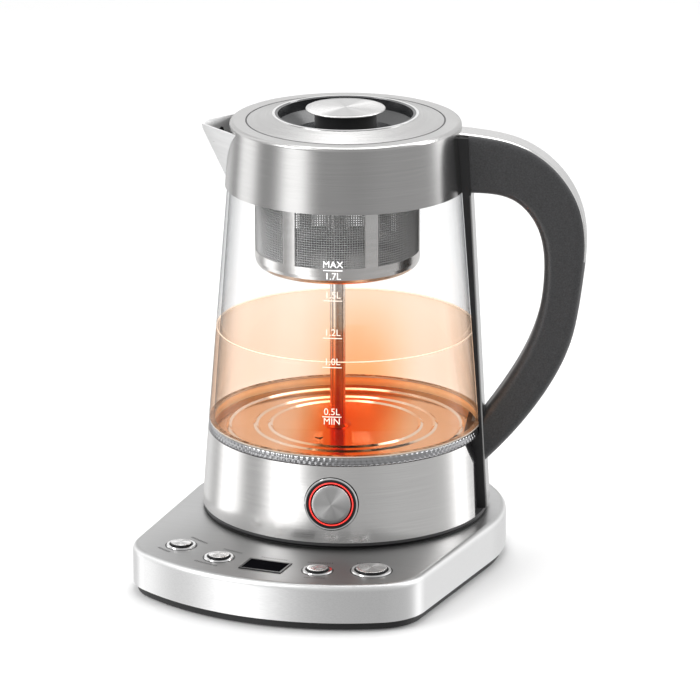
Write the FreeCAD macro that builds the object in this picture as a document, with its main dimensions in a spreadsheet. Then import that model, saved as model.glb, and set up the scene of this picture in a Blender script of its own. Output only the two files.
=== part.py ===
import FreeCAD, Part
import math
import os
import re

import Sketcher
from FreeCAD import Placement, Rotation, Vector

# Frame: millimetres, +Z up, z = 0 on the table, Z axis through the kettle's 360 degree connector.
# The base's control panel faces -Y. The kettle stands turned on the base by kettle_turn.
# Kettle parts are drawn with the handle towards +X, the spout towards -X and the brew button
# towards -Y, and are then turned about Z as a whole.

doc = FreeCAD.newDocument("TeaMaker")
sheet = doc.addObject("Spreadsheet::Sheet", "Sizes")

SIZES = (
    # Base
    ("base_margin", 11.2, "base behind the kettle's seat"),
    ("panel_margin", 24, "front arc of the base, in front of the controls"),
    ("base_corner_radius", 30, "front corners in plan"),
    ("base_taper", 3.2, "degrees that each side leans in towards the front"),
    ("base_top", 26.4, "height of the steel top"),
    ("base_skin_low", 5.2, "height of the steel skirt's lower edge"),
    ("base_edge_radius", 3.5, "rounding of the top edge"),
    ("base_skin_wall", 0.8, "steel sheet"),
    ("chassis_thickness", 2.4, "plastic plate under the steel top"),
    ("chassis_gap", 0.3, "chassis and pan lip inside the skin"),
    ("pan_inset", 1.5, "pan below the lip, in from the skin"),
    ("pan_low", 0.8, "height of the pan's underside"),
    ("pan_wall", 2, "pan floor and wall"),
    ("pan_lip_low", 4, "height where the pan steps out to its lip"),
    ("pan_lip_high", 7, "height of the top of the lip"),
    ("hub_radius", 22, "cord hub under the middle of the pan"),
    ("foot_radius", 8, "rubber feet"),
    ("foot_front_inset", 44, "front feet, in from the front arc"),
    ("foot_back_inset", 42, "back feet, in from the back arc"),
    ("foot_side_inset", 35, "feet, in from the back arc's sides"),
    ("post_radius", 4, "screw posts"),
    ("post_side_inset", 20, "screw posts, in from the back arc's sides"),
    ("post_front_inset", 58, "front screw posts, in from the front arc"),
    ("post_back", 30, "back screw posts from the axis, along Y"),
    ("screw_radius", 1.5, "screw shanks"),
    ("screw_head_radius", 2.9, "screw heads"),
    ("screw_head_height", 1.6, "screw heads"),
    ("screw_length", 12, "screws, under the head"),
    # Seat and connector
    ("seat_inset", 1.1, "edge of the black seat ring, in from the skirt's lower edge"),
    ("seat_thickness", 1.2, "seat ring above the steel top"),
    ("seat_lap", 4.8, "seat ring on the steel top"),
    ("plug_flange_radius", 20, "flange of the connector plug"),
    ("plug_radius", 6.6, "post of the connector plug"),
    ("plug_height", 13, "post above the steel top"),
    ("plug_body_radius", 14, "plug body under the seat"),
    ("plug_body_depth", 10, "plug body under the steel top"),
    ("contact_thickness", 0.4, "brass rings on the post"),
    ("contact_height", 2, "brass rings on the post"),
    ("contact_pitch", 4.5, "brass rings, one above the other"),
    ("part_gap", 0.2, "small gap between parts of one assembly"),
    ("socket_clearance", 0.35, "connector post in its socket and socket in the foot"),
    # Controls
    ("panel_radius", 116, "controls, from the axis"),
    ("panel_pitch", 14.4, "degrees from one control to the next"),
    ("key_radius", 5.75, "small button caps"),
    ("key_bezel_radius", 8.25, "small button bezels"),
    ("power_radius", 8.5, "power button cap"),
    ("power_bezel_radius", 11, "power button bezel"),
    ("bezel_ring", 1.1, "width of a bezel's metal ring"),
    ("bezel_height", 0.8, "bezels above the steel top"),
    ("bezel_depth", 4, "bezel sleeves below the steel top"),
    ("key_height", 2.2, "caps above the steel top"),
    ("key_depth", 4.2, "caps below the steel top"),
    ("key_gap", 0.9, "dark gap round a cap, at the top"),
    ("key_gap_depth", 0.8, "dark gap round a cap, from the steel top down"),
    ("guide_gap", 0.35, "caps in their guides"),
    ("key_stem_radius", 2.4, "stems under the caps"),
    ("key_travel", 1.2, "how far a panel button goes down"),
    ("board_low", 10, "height of the control board's underside"),
    ("board_thickness", 1.6, "circuit boards"),
    ("board_half_width", 13, "control board, each side of the controls' circle"),
    ("board_half_length", 74.9, "control board, each side of its middle, along the controls' circle"),
    ("switch_size", 6, "square switches under the buttons"),
    ("switch_height", 3.8, "switches above the board"),
    ("display_width", 22, "display window, across"),
    ("display_depth", 14, "display window, front to back"),
    ("display_frame", 1.3, "width of the display's frame"),
    ("display_frame_height", 0.5, "frame above the steel top"),
    ("display_module_height", 7, "display module under the window"),
    ("power_board_length", 70, "power board, along X"),
    ("power_board_width", 44, "power board, along Y"),
    ("power_board_inset", 44, "middle of the power board, in from the back arc"),
    ("power_board_low", 6, "height of the power board's underside"),
    ("relay_length", 20, "relay on the power board"),
    ("relay_width", 16, "relay on the power board"),
    ("relay_height", 10, "relay on the power board"),
    ("gland_radius", 6.5, "cord gland through the back of the skin"),
    ("gland_bore_radius", 3.75, "bore of the cord gland"),
    ("gland_length", 14, "cord gland, front to back"),
    ("gland_proud", 3, "cord gland outside the skin"),
    ("gland_height", 15, "height of the gland's axis"),
    # Kettle body
    ("kettle_turn", 16.2, "degrees that the kettle stands turned on the base"),
    ("foot_gap", 0.2, "kettle foot above the seat"),
    ("foot_ring_height", 1.8, "dark band under the steel skirt"),
    ("skirt_radius", 79.9, "outside of the skirt at its lower edge"),
    ("body_slope", 0.075, "how much the radius shrinks for each mm of height"),
    ("skirt_height", 42.8, "steel skirt"),
    ("skirt_wall", 0.8, "steel sheet"),
    ("foot_floor", 2, "kettle foot's floor"),
    ("foot_wall_height", 8, "wall of the foot inside the skirt"),
    ("light_ring_height", 4.8, "clear knurled ring on the skirt"),
    ("light_ring_width", 3.4, "clear knurled ring, radially"),
    ("glass_seal_height", 0.8, "seal between clear ring and glass"),
    ("glass_wall", 2.8, "glass"),
    ("glass_height", 133, "glass from its seal to the collar"),
    ("collar_height", 36.4, "collar"),
    ("collar_wall", 1, "steel collar"),
    ("collar_edge_radius", 2.2, "rounding of the collar's top edge"),
    ("glass_in_collar", 6, "glass hidden in the collar"),
    ("collar_rim", 8.965, "flat rim round the mouth"),
    ("mouth_ring_wall", 1.6, "liner of the mouth"),
    ("mouth_flange", 4, "liner's flange under the collar's top"),
    ("mouth_ring_depth", 20, "liner of the mouth, down from the collar's top"),
    ("plate_thickness", 1.2, "steel floor plate"),
    ("floor_bead", 0.9, "height of the beads pressed in the floor"),
    ("floor_bead_width", 3, "width of the beads"),
    ("outer_bead_inset", 11.7, "outermost bead, in from the skirt's upper edge"),
    ("middle_bead_inset", 15, "middle bead, in from the outermost"),
    ("inner_bead_inset", 8, "innermost bead, in from the middle one"),
    ("liner_height", 4.6, "plastic ring that carries the floor plate"),
    ("liner_width", 5.5, "plastic ring that carries the floor plate"),
    ("kettle_post_radius", 4, "posts between foot and liner"),
    ("kettle_post_inset", 11.9, "posts, in from the skirt's lower edge"),
    ("diffuser_radius", 58, "aluminium plate on the heater"),
    ("diffuser_thickness", 2, "aluminium plate on the heater"),
    ("element_circle", 46, "heating element, from the axis"),
    ("element_radius", 3.4, "heating element's tube"),
    ("element_angle", 300, "degrees that the element goes round"),
    ("thermostat_radius", 17, "thermostat over the socket"),
    ("thermostat_height", 12, "thermostat over the socket"),
    ("thermostat_neck_radius", 9, "thermostat's neck, up to the heater"),
    ("socket_radius", 16.5, "connector socket"),
    ("socket_height", 15, "connector socket"),
    ("sensor_circle", 24, "temperature sensor, from the axis"),
    ("sensor_radius", 5, "temperature sensor"),
    ("sensor_height", 6, "temperature sensor"),
    # Brew button
    ("brew_rise", 21.9, "middle of the brew button, from the skirt's lower edge"),
    ("brew_radius", 10.7, "brew button cap"),
    ("brew_light_width", 1.5, "lit ring"),
    ("brew_surround_width", 1.2, "black ring round the lit ring"),
    ("brew_bezel_radius", 14.6, "bezel"),
    ("brew_proud", 1.8, "cap outside the skirt"),
    ("brew_bezel_height", 0.7, "bezel outside the skirt"),
    ("brew_sleeve", 3, "bezel sleeve inside the skirt"),
    ("brew_depth", 6, "rings inside the skirt"),
    ("brew_travel", 1.5, "how far the brew button goes in"),
    ("brew_stem_radius", 3, "stem of the brew button"),
    ("brew_switch_size", 8, "switch behind the brew button"),
    # Spout
    ("spout_overhang", 15.2, "spout tip, out from the collar"),
    ("spout_half_width", 32, "half the spout's width at the collar"),
    ("spout_run_in", 9.8, "where the spout's walls would meet, in from the collar"),
    ("spout_drop", 3.4, "spout's upper edge, under the collar's top"),
    ("spout_root_depth", 56, "depth of the spout's section at the root"),
    ("spout_tip_depth", 3.2, "depth of the spout at its tip"),
    ("spout_tip_half_width", 3.6, "half the width of the tip"),
    ("spout_wall", 1.8, "how far the spout's channel lies inside its outline"),
    ("spout_keel_radius", 5, "rounding along the bottom of the spout"),
    # Handle
    ("handle_width", 22, "grip, side to side"),
    ("handle_span", 62.5, "outermost point of the grip, from its root"),
    ("handle_drop", 3.8, "grip's top, under the collar's top"),
    ("handle_foot_drop", 19.4, "grip's lower end, under the skirt's upper edge"),
    ("handle_edge_radius", 5, "rounding of the grip"),
    ("handle_cover_width", 17, "steel cover on the grip"),
    ("handle_cover_thickness", 2.2, "steel cover on the grip"),
    ("handle_cover_height", 71.6, "steel cover, down from the grip's top"),
    ("handle_root_inset", 9.4, "root of the grip, in from the skirt's lower edge"),
    ("rail_width", 24, "black rail down the glass"),
    ("rail_low_inset", 0.4, "rail's outer face at its lower end, in from the skirt's"),
    ("rail_lean", 0.0175, "how much less the rail leans in than the glass, for each mm of height"),
    ("rail_strip", 0.8, "steel strip on the rail"),
    ("rail_strip_width", 19.2, "steel strip on the rail"),
    ("panel_low_inset", 5.1, "face of the skirt's panel at its lower end, in from the skirt's"),
    ("panel_bend_inset", 6.5, "face of the skirt's panel at its bend, in from the skirt's lower edge"),
    ("panel_bend_drop", 12.4, "bend in the skirt's panel, under the skirt's upper edge"),
    ("panel_top_inset", 10.4, "face of the skirt's panel at its top, in from the skirt's lower edge"),
    ("panel_back_inset", 12.9, "back of the skirt's panel, in from the skirt's lower edge"),
    ("bracket_drop", 1.7, "upper bracket's lower end, under the collar"),
    # Lid
    ("lid_gap", 0.5, "lid ring inside the collar"),
    ("lid_ring_rise", 3.6, "lid ring, up from the collar's top to the bezel"),
    ("lid_ring_width", 14.4, "steel ring from the mouth to the recess"),
    ("lid_ring_wall", 1, "steel lid ring"),
    ("lid_bezel_width", 1.4, "bright ring round the recess"),
    ("lid_bowl_depth", 11, "recess, down from the bezel"),
    ("lid_bowl_wall", 1.6, "recess"),
    ("lid_body_gap", 1.4, "lid body inside the mouth's liner"),
    ("lid_body_wall", 2, "lid body in the mouth"),
    ("lid_body_depth", 14, "lid body, down from the collar's top"),
    ("lid_floor", 1.8, "underside plate of the lid"),
    ("gasket_height", 3, "lid gasket"),
    ("gasket_gap", 0.35, "gasket inside the mouth liner"),
    ("knob_radius", 21.9, "knob cap"),
    ("knob_height", 1.4, "knob cap"),
    ("knob_rise", 3.6, "knob above the lid ring"),
    ("knob_stem_radius", 17, "knob stem"),
    # Basket and rod
    ("infuser_offset", 4.4, "rod and basket, off the axis towards the spout"),
    ("rod_radius", 4.3, "lift rod"),
    ("rod_drop", 1.3, "rod's top, under the basket's rim"),
    ("rod_foot_radius", 8, "rod's foot on the floor"),
    ("rod_foot_height", 1.5, "rod's foot on the floor"),
    ("basket_clearance", 0.7, "basket's rim inside the mouth's liner"),
    ("basket_height", 66.1, "basket"),
    ("basket_corner", 5, "rounding of the basket's lower edge"),
    ("basket_lid_gap", 0.3, "basket's rim under the lid"),
    ("basket_wall", 0.8, "basket sheet"),
    ("basket_band", 9.7, "plain band under the windows"),
    ("basket_top_band", 14.3, "plain band over the windows"),
    ("basket_windows", 6, "windows round the basket"),
    ("basket_strip", 6.8, "width of the strips between the windows"),
    ("mesh_wall", 0.4, "filter mesh"),
    ("rim_width", 2.4, "basket rim"),
    ("rim_height", 3, "basket rim"),
    ("sleeve_wall", 1.4, "sleeve on the rod"),
    ("sleeve_clearance", 0.35, "sleeve on the rod"),
    ("sleeve_drop", 9.3, "sleeve's top, under the basket's rim"),
)


def fill_sheet():
    """Writes each driving dimension, its name and its meaning in a row of the sheet."""
    for row, (alias, number, meaning) in enumerate(SIZES, start=1):
        sheet.set(f"A{row}", alias)
        sheet.set(f"B{row}", str(number))
        sheet.set(f"C{row}", meaning)
        sheet.setAlias(f"B{row}", alias)
    doc.recompute()


fill_sheet()
ALIASES = {alias for alias, number, meaning in SIZES}
DERIVED = {}


def bound(formula):
    """The formula with derived names written out and each sheet name written as its cell."""
    def cell(match):
        word = match.group(0)
        if word in DERIVED:
            return bound(DERIVED[word])
        return f"Sizes.{word}" if word in ALIASES else word
    return re.sub(r"[a-z][a-z_]*[a-z]", cell, formula)


def size(formula):
    """The number that a formula of sheet names gives."""
    return float(sheet.evalExpression(bound(formula)))


# Heights that several parts share, as formulas of the sheet
SEAT_TOP = "(base_top + seat_thickness)"
FOOT_LOW = f"({SEAT_TOP} + foot_gap)"
SKIRT_LOW = f"({FOOT_LOW} + foot_ring_height)"
SKIRT_TOP = f"({SKIRT_LOW} + skirt_height)"
RING_TOP = f"({SKIRT_TOP} + light_ring_height)"
GLASS_LOW = f"({RING_TOP} + glass_seal_height)"
GLASS_TOP = "(collar_low + glass_in_collar)"
PLATE_LOW = f"({SKIRT_TOP} - plate_thickness)"
CHASSIS_TOP = "(base_top - base_skin_wall)"
CHASSIS_LOW = f"({CHASSIS_TOP} - chassis_thickness)"
BOARD_TOP = "(board_low + board_thickness)"
BASKET_BAND_TOP = "(basket_low + basket_band)"
BEZEL_Z = "(collar_top + lid_ring_rise)"


def body_radius(height):
    """Formula for the outside radius of skirt, glass and collar at a height."""
    return f"(skirt_radius - body_slope * (({height}) - {SKIRT_LOW}))"


# Sizes that follow from the sheet's, by name
DERIVED.update({
    "board_half_angle": "(board_half_length / panel_radius * 180 / pi)",
    "outer_bead_radius": f"({body_radius(SKIRT_TOP)} - outer_bead_inset)",
    "middle_bead_radius": "(outer_bead_radius - middle_bead_inset)",
    "inner_bead_radius": "(middle_bead_radius - inner_bead_inset)",
    "seat_radius": "(skirt_radius - seat_inset)",
    "seat_hole_radius": "(seat_radius - seat_lap)",
    "base_back_radius": "(seat_radius + base_margin)",
    "base_front_radius": "(panel_radius + panel_margin)",
    "foot_front": "(base_front_radius - foot_front_inset)",
    "foot_back": "(base_back_radius - foot_back_inset)",
    "foot_side": "(base_back_radius - foot_side_inset)",
    "post_side": "(base_back_radius - post_side_inset)",
    "post_front": "(base_front_radius - post_front_inset)",
    "power_board_y": "(base_back_radius - power_board_inset)",
    "collar_low": f"({GLASS_LOW} + glass_height)",
    "collar_top": "(collar_low + collar_height)",
    "mouth_radius": f"({body_radius('collar_top')} - collar_rim)",
    "kettle_post_circle": "(skirt_radius - kettle_post_inset)",
    "brew_height": f"({SKIRT_LOW} + brew_rise)",
    "spout_top": "(collar_top - spout_drop)",
    "spout_reach": f"({body_radius('spout_top')} + spout_overhang)",
    "spout_root": f"({body_radius('spout_top')} - spout_run_in)",
    "handle_top": "(collar_top - handle_drop)",
    "handle_low": f"({SKIRT_TOP} - handle_foot_drop)",
    "handle_root": "(skirt_radius - handle_root_inset)",
    "handle_reach": "(handle_root + handle_span)",
    "handle_cover_low": "(handle_top - handle_cover_height)",
    "rail_low_reach": "(skirt_radius - rail_low_inset)",
    "rail_slope": "(body_slope - rail_lean)",
    "bracket_low": "(collar_low - bracket_drop)",
    "panel_low_reach": "(skirt_radius - panel_low_inset)",
    "panel_bend_reach": "(skirt_radius - panel_bend_inset)",
    "panel_top_reach": "(skirt_radius - panel_top_inset)",
    "panel_back_reach": "(skirt_radius - panel_back_inset)",
    "panel_bend": f"({SKIRT_TOP} - panel_bend_drop)",
    "lid_bowl_radius": "(mouth_radius - lid_ring_width)",
    "lid_body_radius": "(mouth_radius - mouth_ring_wall - lid_body_gap)",
    "knob_top": f"({BEZEL_Z} + knob_rise)",
    "basket_high": "(collar_top - lid_body_depth - lid_floor - basket_lid_gap)",
    "basket_low": "(basket_high - basket_height)",
    "basket_window_top": "(basket_high - basket_top_band)",
    "basket_radius": "(mouth_radius - mouth_ring_wall - infuser_offset - rim_width - basket_clearance)",
    "rod_top": "(basket_high - rod_drop)",
    "sleeve_top": "(basket_high - sleeve_drop)",
})


def new_body(label):
    part = doc.addObject("PartDesign::Body", label)
    part.Label = label
    return part


def new_sketch(part, role, height=None):
    """A sketch on one of the body's own planes, lifted along its normal by a formula."""
    sketch = part.newObject("Sketcher::SketchObject", f"{part.Name}_sketch")
    plane = next(f for f in part.Origin.OriginFeatures if f.Role == role)
    sketch.AttachmentSupport = [(plane, "")]
    sketch.MapMode = "FlatFace"
    if height is not None:
        sketch.AttachmentOffset = Placement(Vector(0, 0, size(height)), Rotation())
        sketch.setExpression("AttachmentOffset.Base.z", bound(height))
    return sketch


def pin_point(sketch, edge, end, x, y):
    """Holds a sketch point at two formulas, measured from the sketch's origin."""
    for kind, formula, axis in (("DistanceX", x, -2), ("DistanceY", y, -1)):
        if formula == "0":
            sketch.addConstraint(Sketcher.Constraint("PointOnObject", edge, end, axis))
        else:
            index = sketch.addConstraint(Sketcher.Constraint(kind, -1, 1, edge, end, size(formula)))
            sketch.setExpression(f"Constraints[{index}]", bound(formula))


def draw_polygon(sketch, points):
    """A closed outline whose corners are pairs of formulas."""
    corners = [Vector(size(x), size(y), 0) for x, y in points]
    count = len(corners)
    first = sketch.GeometryCount
    for i in range(count):
        sketch.addGeometry(Part.LineSegment(corners[i], corners[(i + 1) % count]), False)
    for i in range(count):
        following = first + (i + 1) % count
        sketch.addConstraint(Sketcher.Constraint("Coincident", first + i, 2, following, 1))
    for i, (x, y) in enumerate(points):
        pin_point(sketch, first + i, 1, x, y)


def draw_circle(sketch, x, y, radius):
    circle = Part.Circle(Vector(size(x), size(y), 0), Vector(0, 0, 1), size(radius))
    edge = sketch.addGeometry(circle, False)
    index = sketch.addConstraint(Sketcher.Constraint("Radius", edge, size(radius)))
    sketch.setExpression(f"Constraints[{index}]", bound(radius))
    pin_point(sketch, edge, 3, x, y)


def draw_rectangle(sketch, x, y, width, depth):
    """A rectangle by the formulas of its middle and its two sides."""
    left, right = f"{x} - ({width}) / 2", f"{x} + ({width}) / 2"
    low, high = f"{y} - ({depth}) / 2", f"{y} + ({depth}) / 2"
    draw_polygon(sketch, ((left, low), (right, low), (right, high), (left, high)))


def add_revolution(part, points):
    sketch = new_sketch(part, "XZ_Plane")
    draw_polygon(sketch, points)
    feature = part.newObject("PartDesign::Revolution", f"{part.Name}_revolution")
    feature.Profile = sketch
    feature.ReferenceAxis = (sketch, ["V_Axis"])
    feature.Angle = 360
    return feature


def revolved(label, points):
    """A round body from an outline of (radius, height) formulas."""
    part = new_body(label)
    add_revolution(part, points)
    return part


def add_pad(part, low, high, draw):
    """Pads what draw puts in a level sketch, between two heights."""
    sketch = new_sketch(part, "XY_Plane", low)
    draw(sketch)
    feature = part.newObject("PartDesign::Pad", f"{part.Name}_pad")
    feature.Profile = sketch
    feature.Length = size(f"({high}) - ({low})")
    feature.setExpression("Length", bound(f"({high}) - ({low})"))
    return feature


def add_pocket(part, low, high, draw):
    """Cuts what draw puts in a level sketch, from the higher of two heights downwards."""
    sketch = new_sketch(part, "XY_Plane", high)
    draw(sketch)
    feature = part.newObject("PartDesign::Pocket", f"{part.Name}_pocket")
    feature.Profile = sketch
    feature.Length = size(f"({high}) - ({low})")
    feature.setExpression("Length", bound(f"({high}) - ({low})"))
    return feature


def add_fillet(part, radius, chosen):
    """Rounds the edges of the body so far that the function chosen picks."""
    doc.recompute()
    base = part.Tip
    picked = [f"Edge{i}" for i, edge in enumerate(base.Shape.Edges, start=1) if chosen(edge)]
    fillet = part.newObject("PartDesign::Fillet", f"{part.Name}_fillet")
    fillet.Base = (base, picked)
    fillet.Radius = size(radius)
    fillet.setExpression("Radius", bound(radius))
    return fillet


def add_shell(part, wall, open_height):
    """Hollows the body to a wall, open at its level face at a height."""
    doc.recompute()
    base = part.Tip
    mouth = [f"Face{i}" for i, face in enumerate(base.Shape.Faces, start=1) if at_height(face, open_height)]
    shell = part.newObject("PartDesign::Thickness", f"{part.Name}_shell")
    shell.Base = (base, mouth)
    shell.Value = size(wall)
    shell.setExpression("Value", bound(wall))
    shell.Join = 0
    shell.Reversed = True
    return shell


def at_height(edge, height):
    box = edge.BoundBox
    return abs(box.ZMin - height) < 1e-3 and abs(box.ZMax - height) < 1e-3


def turned(part):
    """Turns a kettle part about the kettle's axis."""
    part.Placement = Placement(Vector(), Rotation(Vector(0, 0, 1), size("kettle_turn")))
    part.setExpression("Placement.Rotation.Angle", bound("kettle_turn * 1 deg"))
    return part


def shaped(label, shape, placement=None):
    """A sub-part whose shape is made in code from the sheet's sizes."""
    part = doc.addObject("Part::Feature", label)
    part.Label = label
    part.Shape = shape
    part.Placement = placement or Placement()
    return part


TURN = Placement(Vector(), Rotation(Vector(0, 0, 1), size("kettle_turn")))


# Base


def draw_base_outline(sketch, inset):
    """Plan of the base, moved in by a formula: back arc, leaning sides, corners, front arc."""
    back = size(f"base_back_radius - ({inset})")
    front = size(f"base_front_radius - ({inset})")
    corner = size(f"base_corner_radius - ({inset})")
    lean = math.radians(size("base_taper"))
    normal = Vector(math.cos(lean), -math.sin(lean), 0)
    along = Vector(-math.sin(lean), -math.cos(lean), 0)
    run = math.sqrt((front - corner) ** 2 - (back - corner) ** 2)
    middle = normal * (back - corner) + along * run
    reach = math.atan2(middle.y, middle.x)
    up = Vector(0, 0, 1)
    origin = Vector()
    other = Vector(-middle.x, middle.y, 0)

    def arc(centre, radius, start, end):
        return Part.ArcOfCircle(Part.Circle(centre, up, radius), start, end)

    edges = (
        arc(origin, back, -lean, math.pi + lean),
        Part.LineSegment(Vector(-normal.x * back, normal.y * back, 0),
                         Vector(-middle.x - normal.x * corner, middle.y + normal.y * corner, 0)),
        arc(other, corner, math.pi + lean, math.pi - reach),
        arc(origin, front, math.pi - reach, 2 * math.pi + reach),
        arc(middle, corner, reach, -lean),
        Part.LineSegment(middle + normal * corner, normal * back),
    )
    first = sketch.addGeometry(list(edges), False)[0]
    ends = ((0, 2, 1, 1), (1, 2, 2, 1), (2, 2, 3, 1), (3, 2, 4, 1), (4, 2, 5, 1), (5, 2, 0, 1))
    for edge, end, other_edge, other_end in ends:
        sketch.addConstraint(Sketcher.Constraint("Tangent", first + edge, end, first + other_edge, other_end))
    for edge in (0, 3):
        sketch.addConstraint(Sketcher.Constraint("Coincident", first + edge, 3, -1, 1))
    sizes = ((0, f"base_back_radius - ({inset})"), (3, f"base_front_radius - ({inset})"),
             (2, f"base_corner_radius - ({inset})"), (4, f"base_corner_radius - ({inset})"))
    for edge, formula in sizes:
        index = sketch.addConstraint(Sketcher.Constraint("Radius", first + edge, size(formula)))
        sketch.setExpression(f"Constraints[{index}]", bound(formula))
    height = f"0 - (base_back_radius - ({inset})) * sin(base_taper * 1 deg)"
    for edge, end in ((1, 1), (5, 2)):
        index = sketch.addConstraint(Sketcher.Constraint("DistanceY", -1, 1, first + edge, end, size(height)))
        sketch.setExpression(f"Constraints[{index}]", bound(height))


def control_place(step, height="0"):
    """Place of a control on the panel's arc, counted in steps from the middle."""
    angle = math.radians(size("panel_pitch")) * step
    reach = size("panel_radius")
    spot = Vector(reach * math.sin(angle), -reach * math.cos(angle), size(height))
    return Placement(spot, Rotation(Vector(0, 0, 1), math.degrees(angle)))


KEYS = (
    ("keep_warm", -2, "key_radius", "key_bezel_radius"),
    ("function", -1, "key_radius", "key_bezel_radius"),
    ("temperature", 1, "key_radius", "key_bezel_radius"),
    ("power", 2, "power_radius", "power_bezel_radius"),
)


def control_centre(step):
    """Formulas of a control's place on the panel's arc."""
    angle = f"(panel_pitch * {step} * 1 deg)"
    return f"panel_radius * sin({angle})", f"0 - panel_radius * cos({angle})"


def draw_control_holes(sketch, clearance):
    """Holes for the bezel sleeves, wider by a formula."""
    for name, step, cap, bezel in KEYS:
        x, y = control_centre(step)
        draw_circle(sketch, x, y, f"{bezel} - bezel_ring + {clearance}")


def draw_display_hole(sketch):
    draw_rectangle(sketch, "0", "0 - panel_radius", "display_width + part_gap", "display_depth + part_gap")


def make_base_cover():
    part = new_body("base_cover")
    add_pad(part, "base_skin_low", "base_top", lambda s: draw_base_outline(s, "0"))
    top = size("base_top")
    add_fillet(part, "base_edge_radius", lambda edge: at_height(edge, top))
    add_shell(part, "base_skin_wall", size("base_skin_low"))
    add_pocket(part, CHASSIS_LOW, "base_top", lambda s: draw_circle(s, "0", "0", "seat_hole_radius"))
    add_pocket(part, CHASSIS_LOW, "base_top", lambda s: draw_control_holes(s, "0"))
    add_pocket(part, CHASSIS_LOW, "base_top", draw_display_hole)
    return part


def post_spots():
    """Formulas of the four screw posts' places."""
    return [(f"{side} * post_side", f"{ahead}") for side in ("1", "-1") for ahead in ("0 - post_front", "post_back")]


def foot_spots():
    return [(f"{side} * foot_side", f"{ahead}") for side in ("1", "-1") for ahead in ("0 - foot_front", "foot_back")]


def board_spots():
    """Formulas of the four posts under the power board's corners."""
    return [(f"{side} * (power_board_length / 2 - post_radius)",
             f"power_board_y + {ahead} * (power_board_width / 2 - post_radius)")
            for side in ("1", "-1") for ahead in ("1", "-1")]


def draw_spots(sketch, spots, radius):
    for x, y in spots:
        draw_circle(sketch, x, y, radius)


def make_base_chassis():
    """Plastic plate under the steel top, with posts down to the pan and board posts."""
    part = new_body("base_chassis")
    inset = "base_skin_wall + base_edge_radius"
    add_pad(part, CHASSIS_LOW, CHASSIS_TOP, lambda s: draw_base_outline(s, inset))
    posts = "pan_low + pan_wall"
    add_pad(part, posts, CHASSIS_LOW, lambda s: draw_spots(s, post_spots(), "post_radius"))
    boards = [control_centre(step) for step in ("-1.5", "1.5")]
    add_pad(part, BOARD_TOP, CHASSIS_LOW, lambda s: draw_spots(s, boards, "screw_radius * 2"))
    add_pocket(part, CHASSIS_LOW, CHASSIS_TOP, lambda s: draw_circle(s, "0", "0", "plug_body_radius + part_gap"))
    add_pocket(part, CHASSIS_LOW, CHASSIS_TOP, lambda s: draw_control_holes(s, "0"))
    add_pocket(part, CHASSIS_LOW, CHASSIS_TOP, draw_display_hole)
    bore_top = "pan_low + screw_length + screw_head_height"
    add_pocket(part, posts, bore_top, lambda s: draw_spots(s, post_spots(), "screw_radius"))
    return part


def make_base_pan():
    """Black underside: a tray with a lip that closes the skin, a cord hub and post holes."""
    part = new_body("base_pan")
    lip = "base_skin_wall + chassis_gap"
    wall = f"{lip} + pan_inset"
    add_pad(part, "pan_low", "pan_lip_low", lambda s: draw_base_outline(s, wall))
    add_pad(part, "pan_lip_low", "pan_lip_high", lambda s: draw_base_outline(s, lip))
    floor = "pan_low + pan_wall"
    add_pocket(part, floor, "pan_lip_high", lambda s: draw_base_outline(s, f"{wall} + pan_wall"))
    add_pad(part, "0", "pan_low", lambda s: draw_circle(s, "0", "0", "hub_radius"))
    add_pad(part, floor, "power_board_low", lambda s: draw_spots(s, board_spots(), "post_radius"))
    add_pocket(part, "pan_low", floor, lambda s: draw_spots(s, post_spots(), "screw_radius"))
    head = "pan_low + screw_head_height"
    add_pocket(part, "pan_low", head, lambda s: draw_spots(s, post_spots(), "screw_head_radius"))
    return part


def make_base_screws():
    """Four screws up through the pan into the chassis posts."""
    part = new_body("base_screws")
    head = "pan_low + screw_head_height"
    add_pad(part, "pan_low", head, lambda s: draw_spots(s, post_spots(), "screw_head_radius"))
    add_pad(part, head, f"{head} + screw_length", lambda s: draw_spots(s, post_spots(), "screw_radius"))
    return part


def make_base_feet():
    part = new_body("base_feet")
    add_pad(part, "0", "pan_low", lambda s: draw_spots(s, foot_spots(), "foot_radius"))
    return part


def make_kettle_seat():
    """Black ring that the kettle stands on, let into the steel top."""
    inside = "plug_flange_radius + part_gap"
    return revolved("kettle_seat", (
        (inside, CHASSIS_TOP),
        ("seat_hole_radius", CHASSIS_TOP),
        ("seat_hole_radius", "base_top"),
        ("seat_radius", "base_top"),
        ("seat_radius - seat_thickness", SEAT_TOP),
        (inside, SEAT_TOP),
    ))


def make_connector_plug():
    """Fixed half of the 360 degree connector."""
    flange_top = f"{SEAT_TOP} - part_gap"
    return revolved("connector_plug", (
        ("0", "base_top - plug_body_depth"),
        ("plug_body_radius", "base_top - plug_body_depth"),
        ("plug_body_radius", CHASSIS_TOP),
        ("plug_flange_radius", CHASSIS_TOP),
        ("plug_flange_radius", flange_top),
        ("plug_radius", flange_top),
        ("plug_radius", "base_top + plug_height - contact_thickness"),
        ("plug_radius - 2 * contact_thickness", "base_top + plug_height"),
        ("0", "base_top + plug_height"),
    ))


def make_connector_contacts():
    """Two brass rings round the plug's post."""
    part = new_body("connector_contacts")
    first = f"{SEAT_TOP} + contact_pitch / 2"
    for turn in ("0", "1"):
        low = f"{first} + {turn} * contact_pitch"

        def draw(sketch):
            draw_circle(sketch, "0", "0", "plug_radius + contact_thickness")
            draw_circle(sketch, "0", "0", "plug_radius")
        add_pad(part, low, f"{low} + contact_height", draw)
    return part


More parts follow.
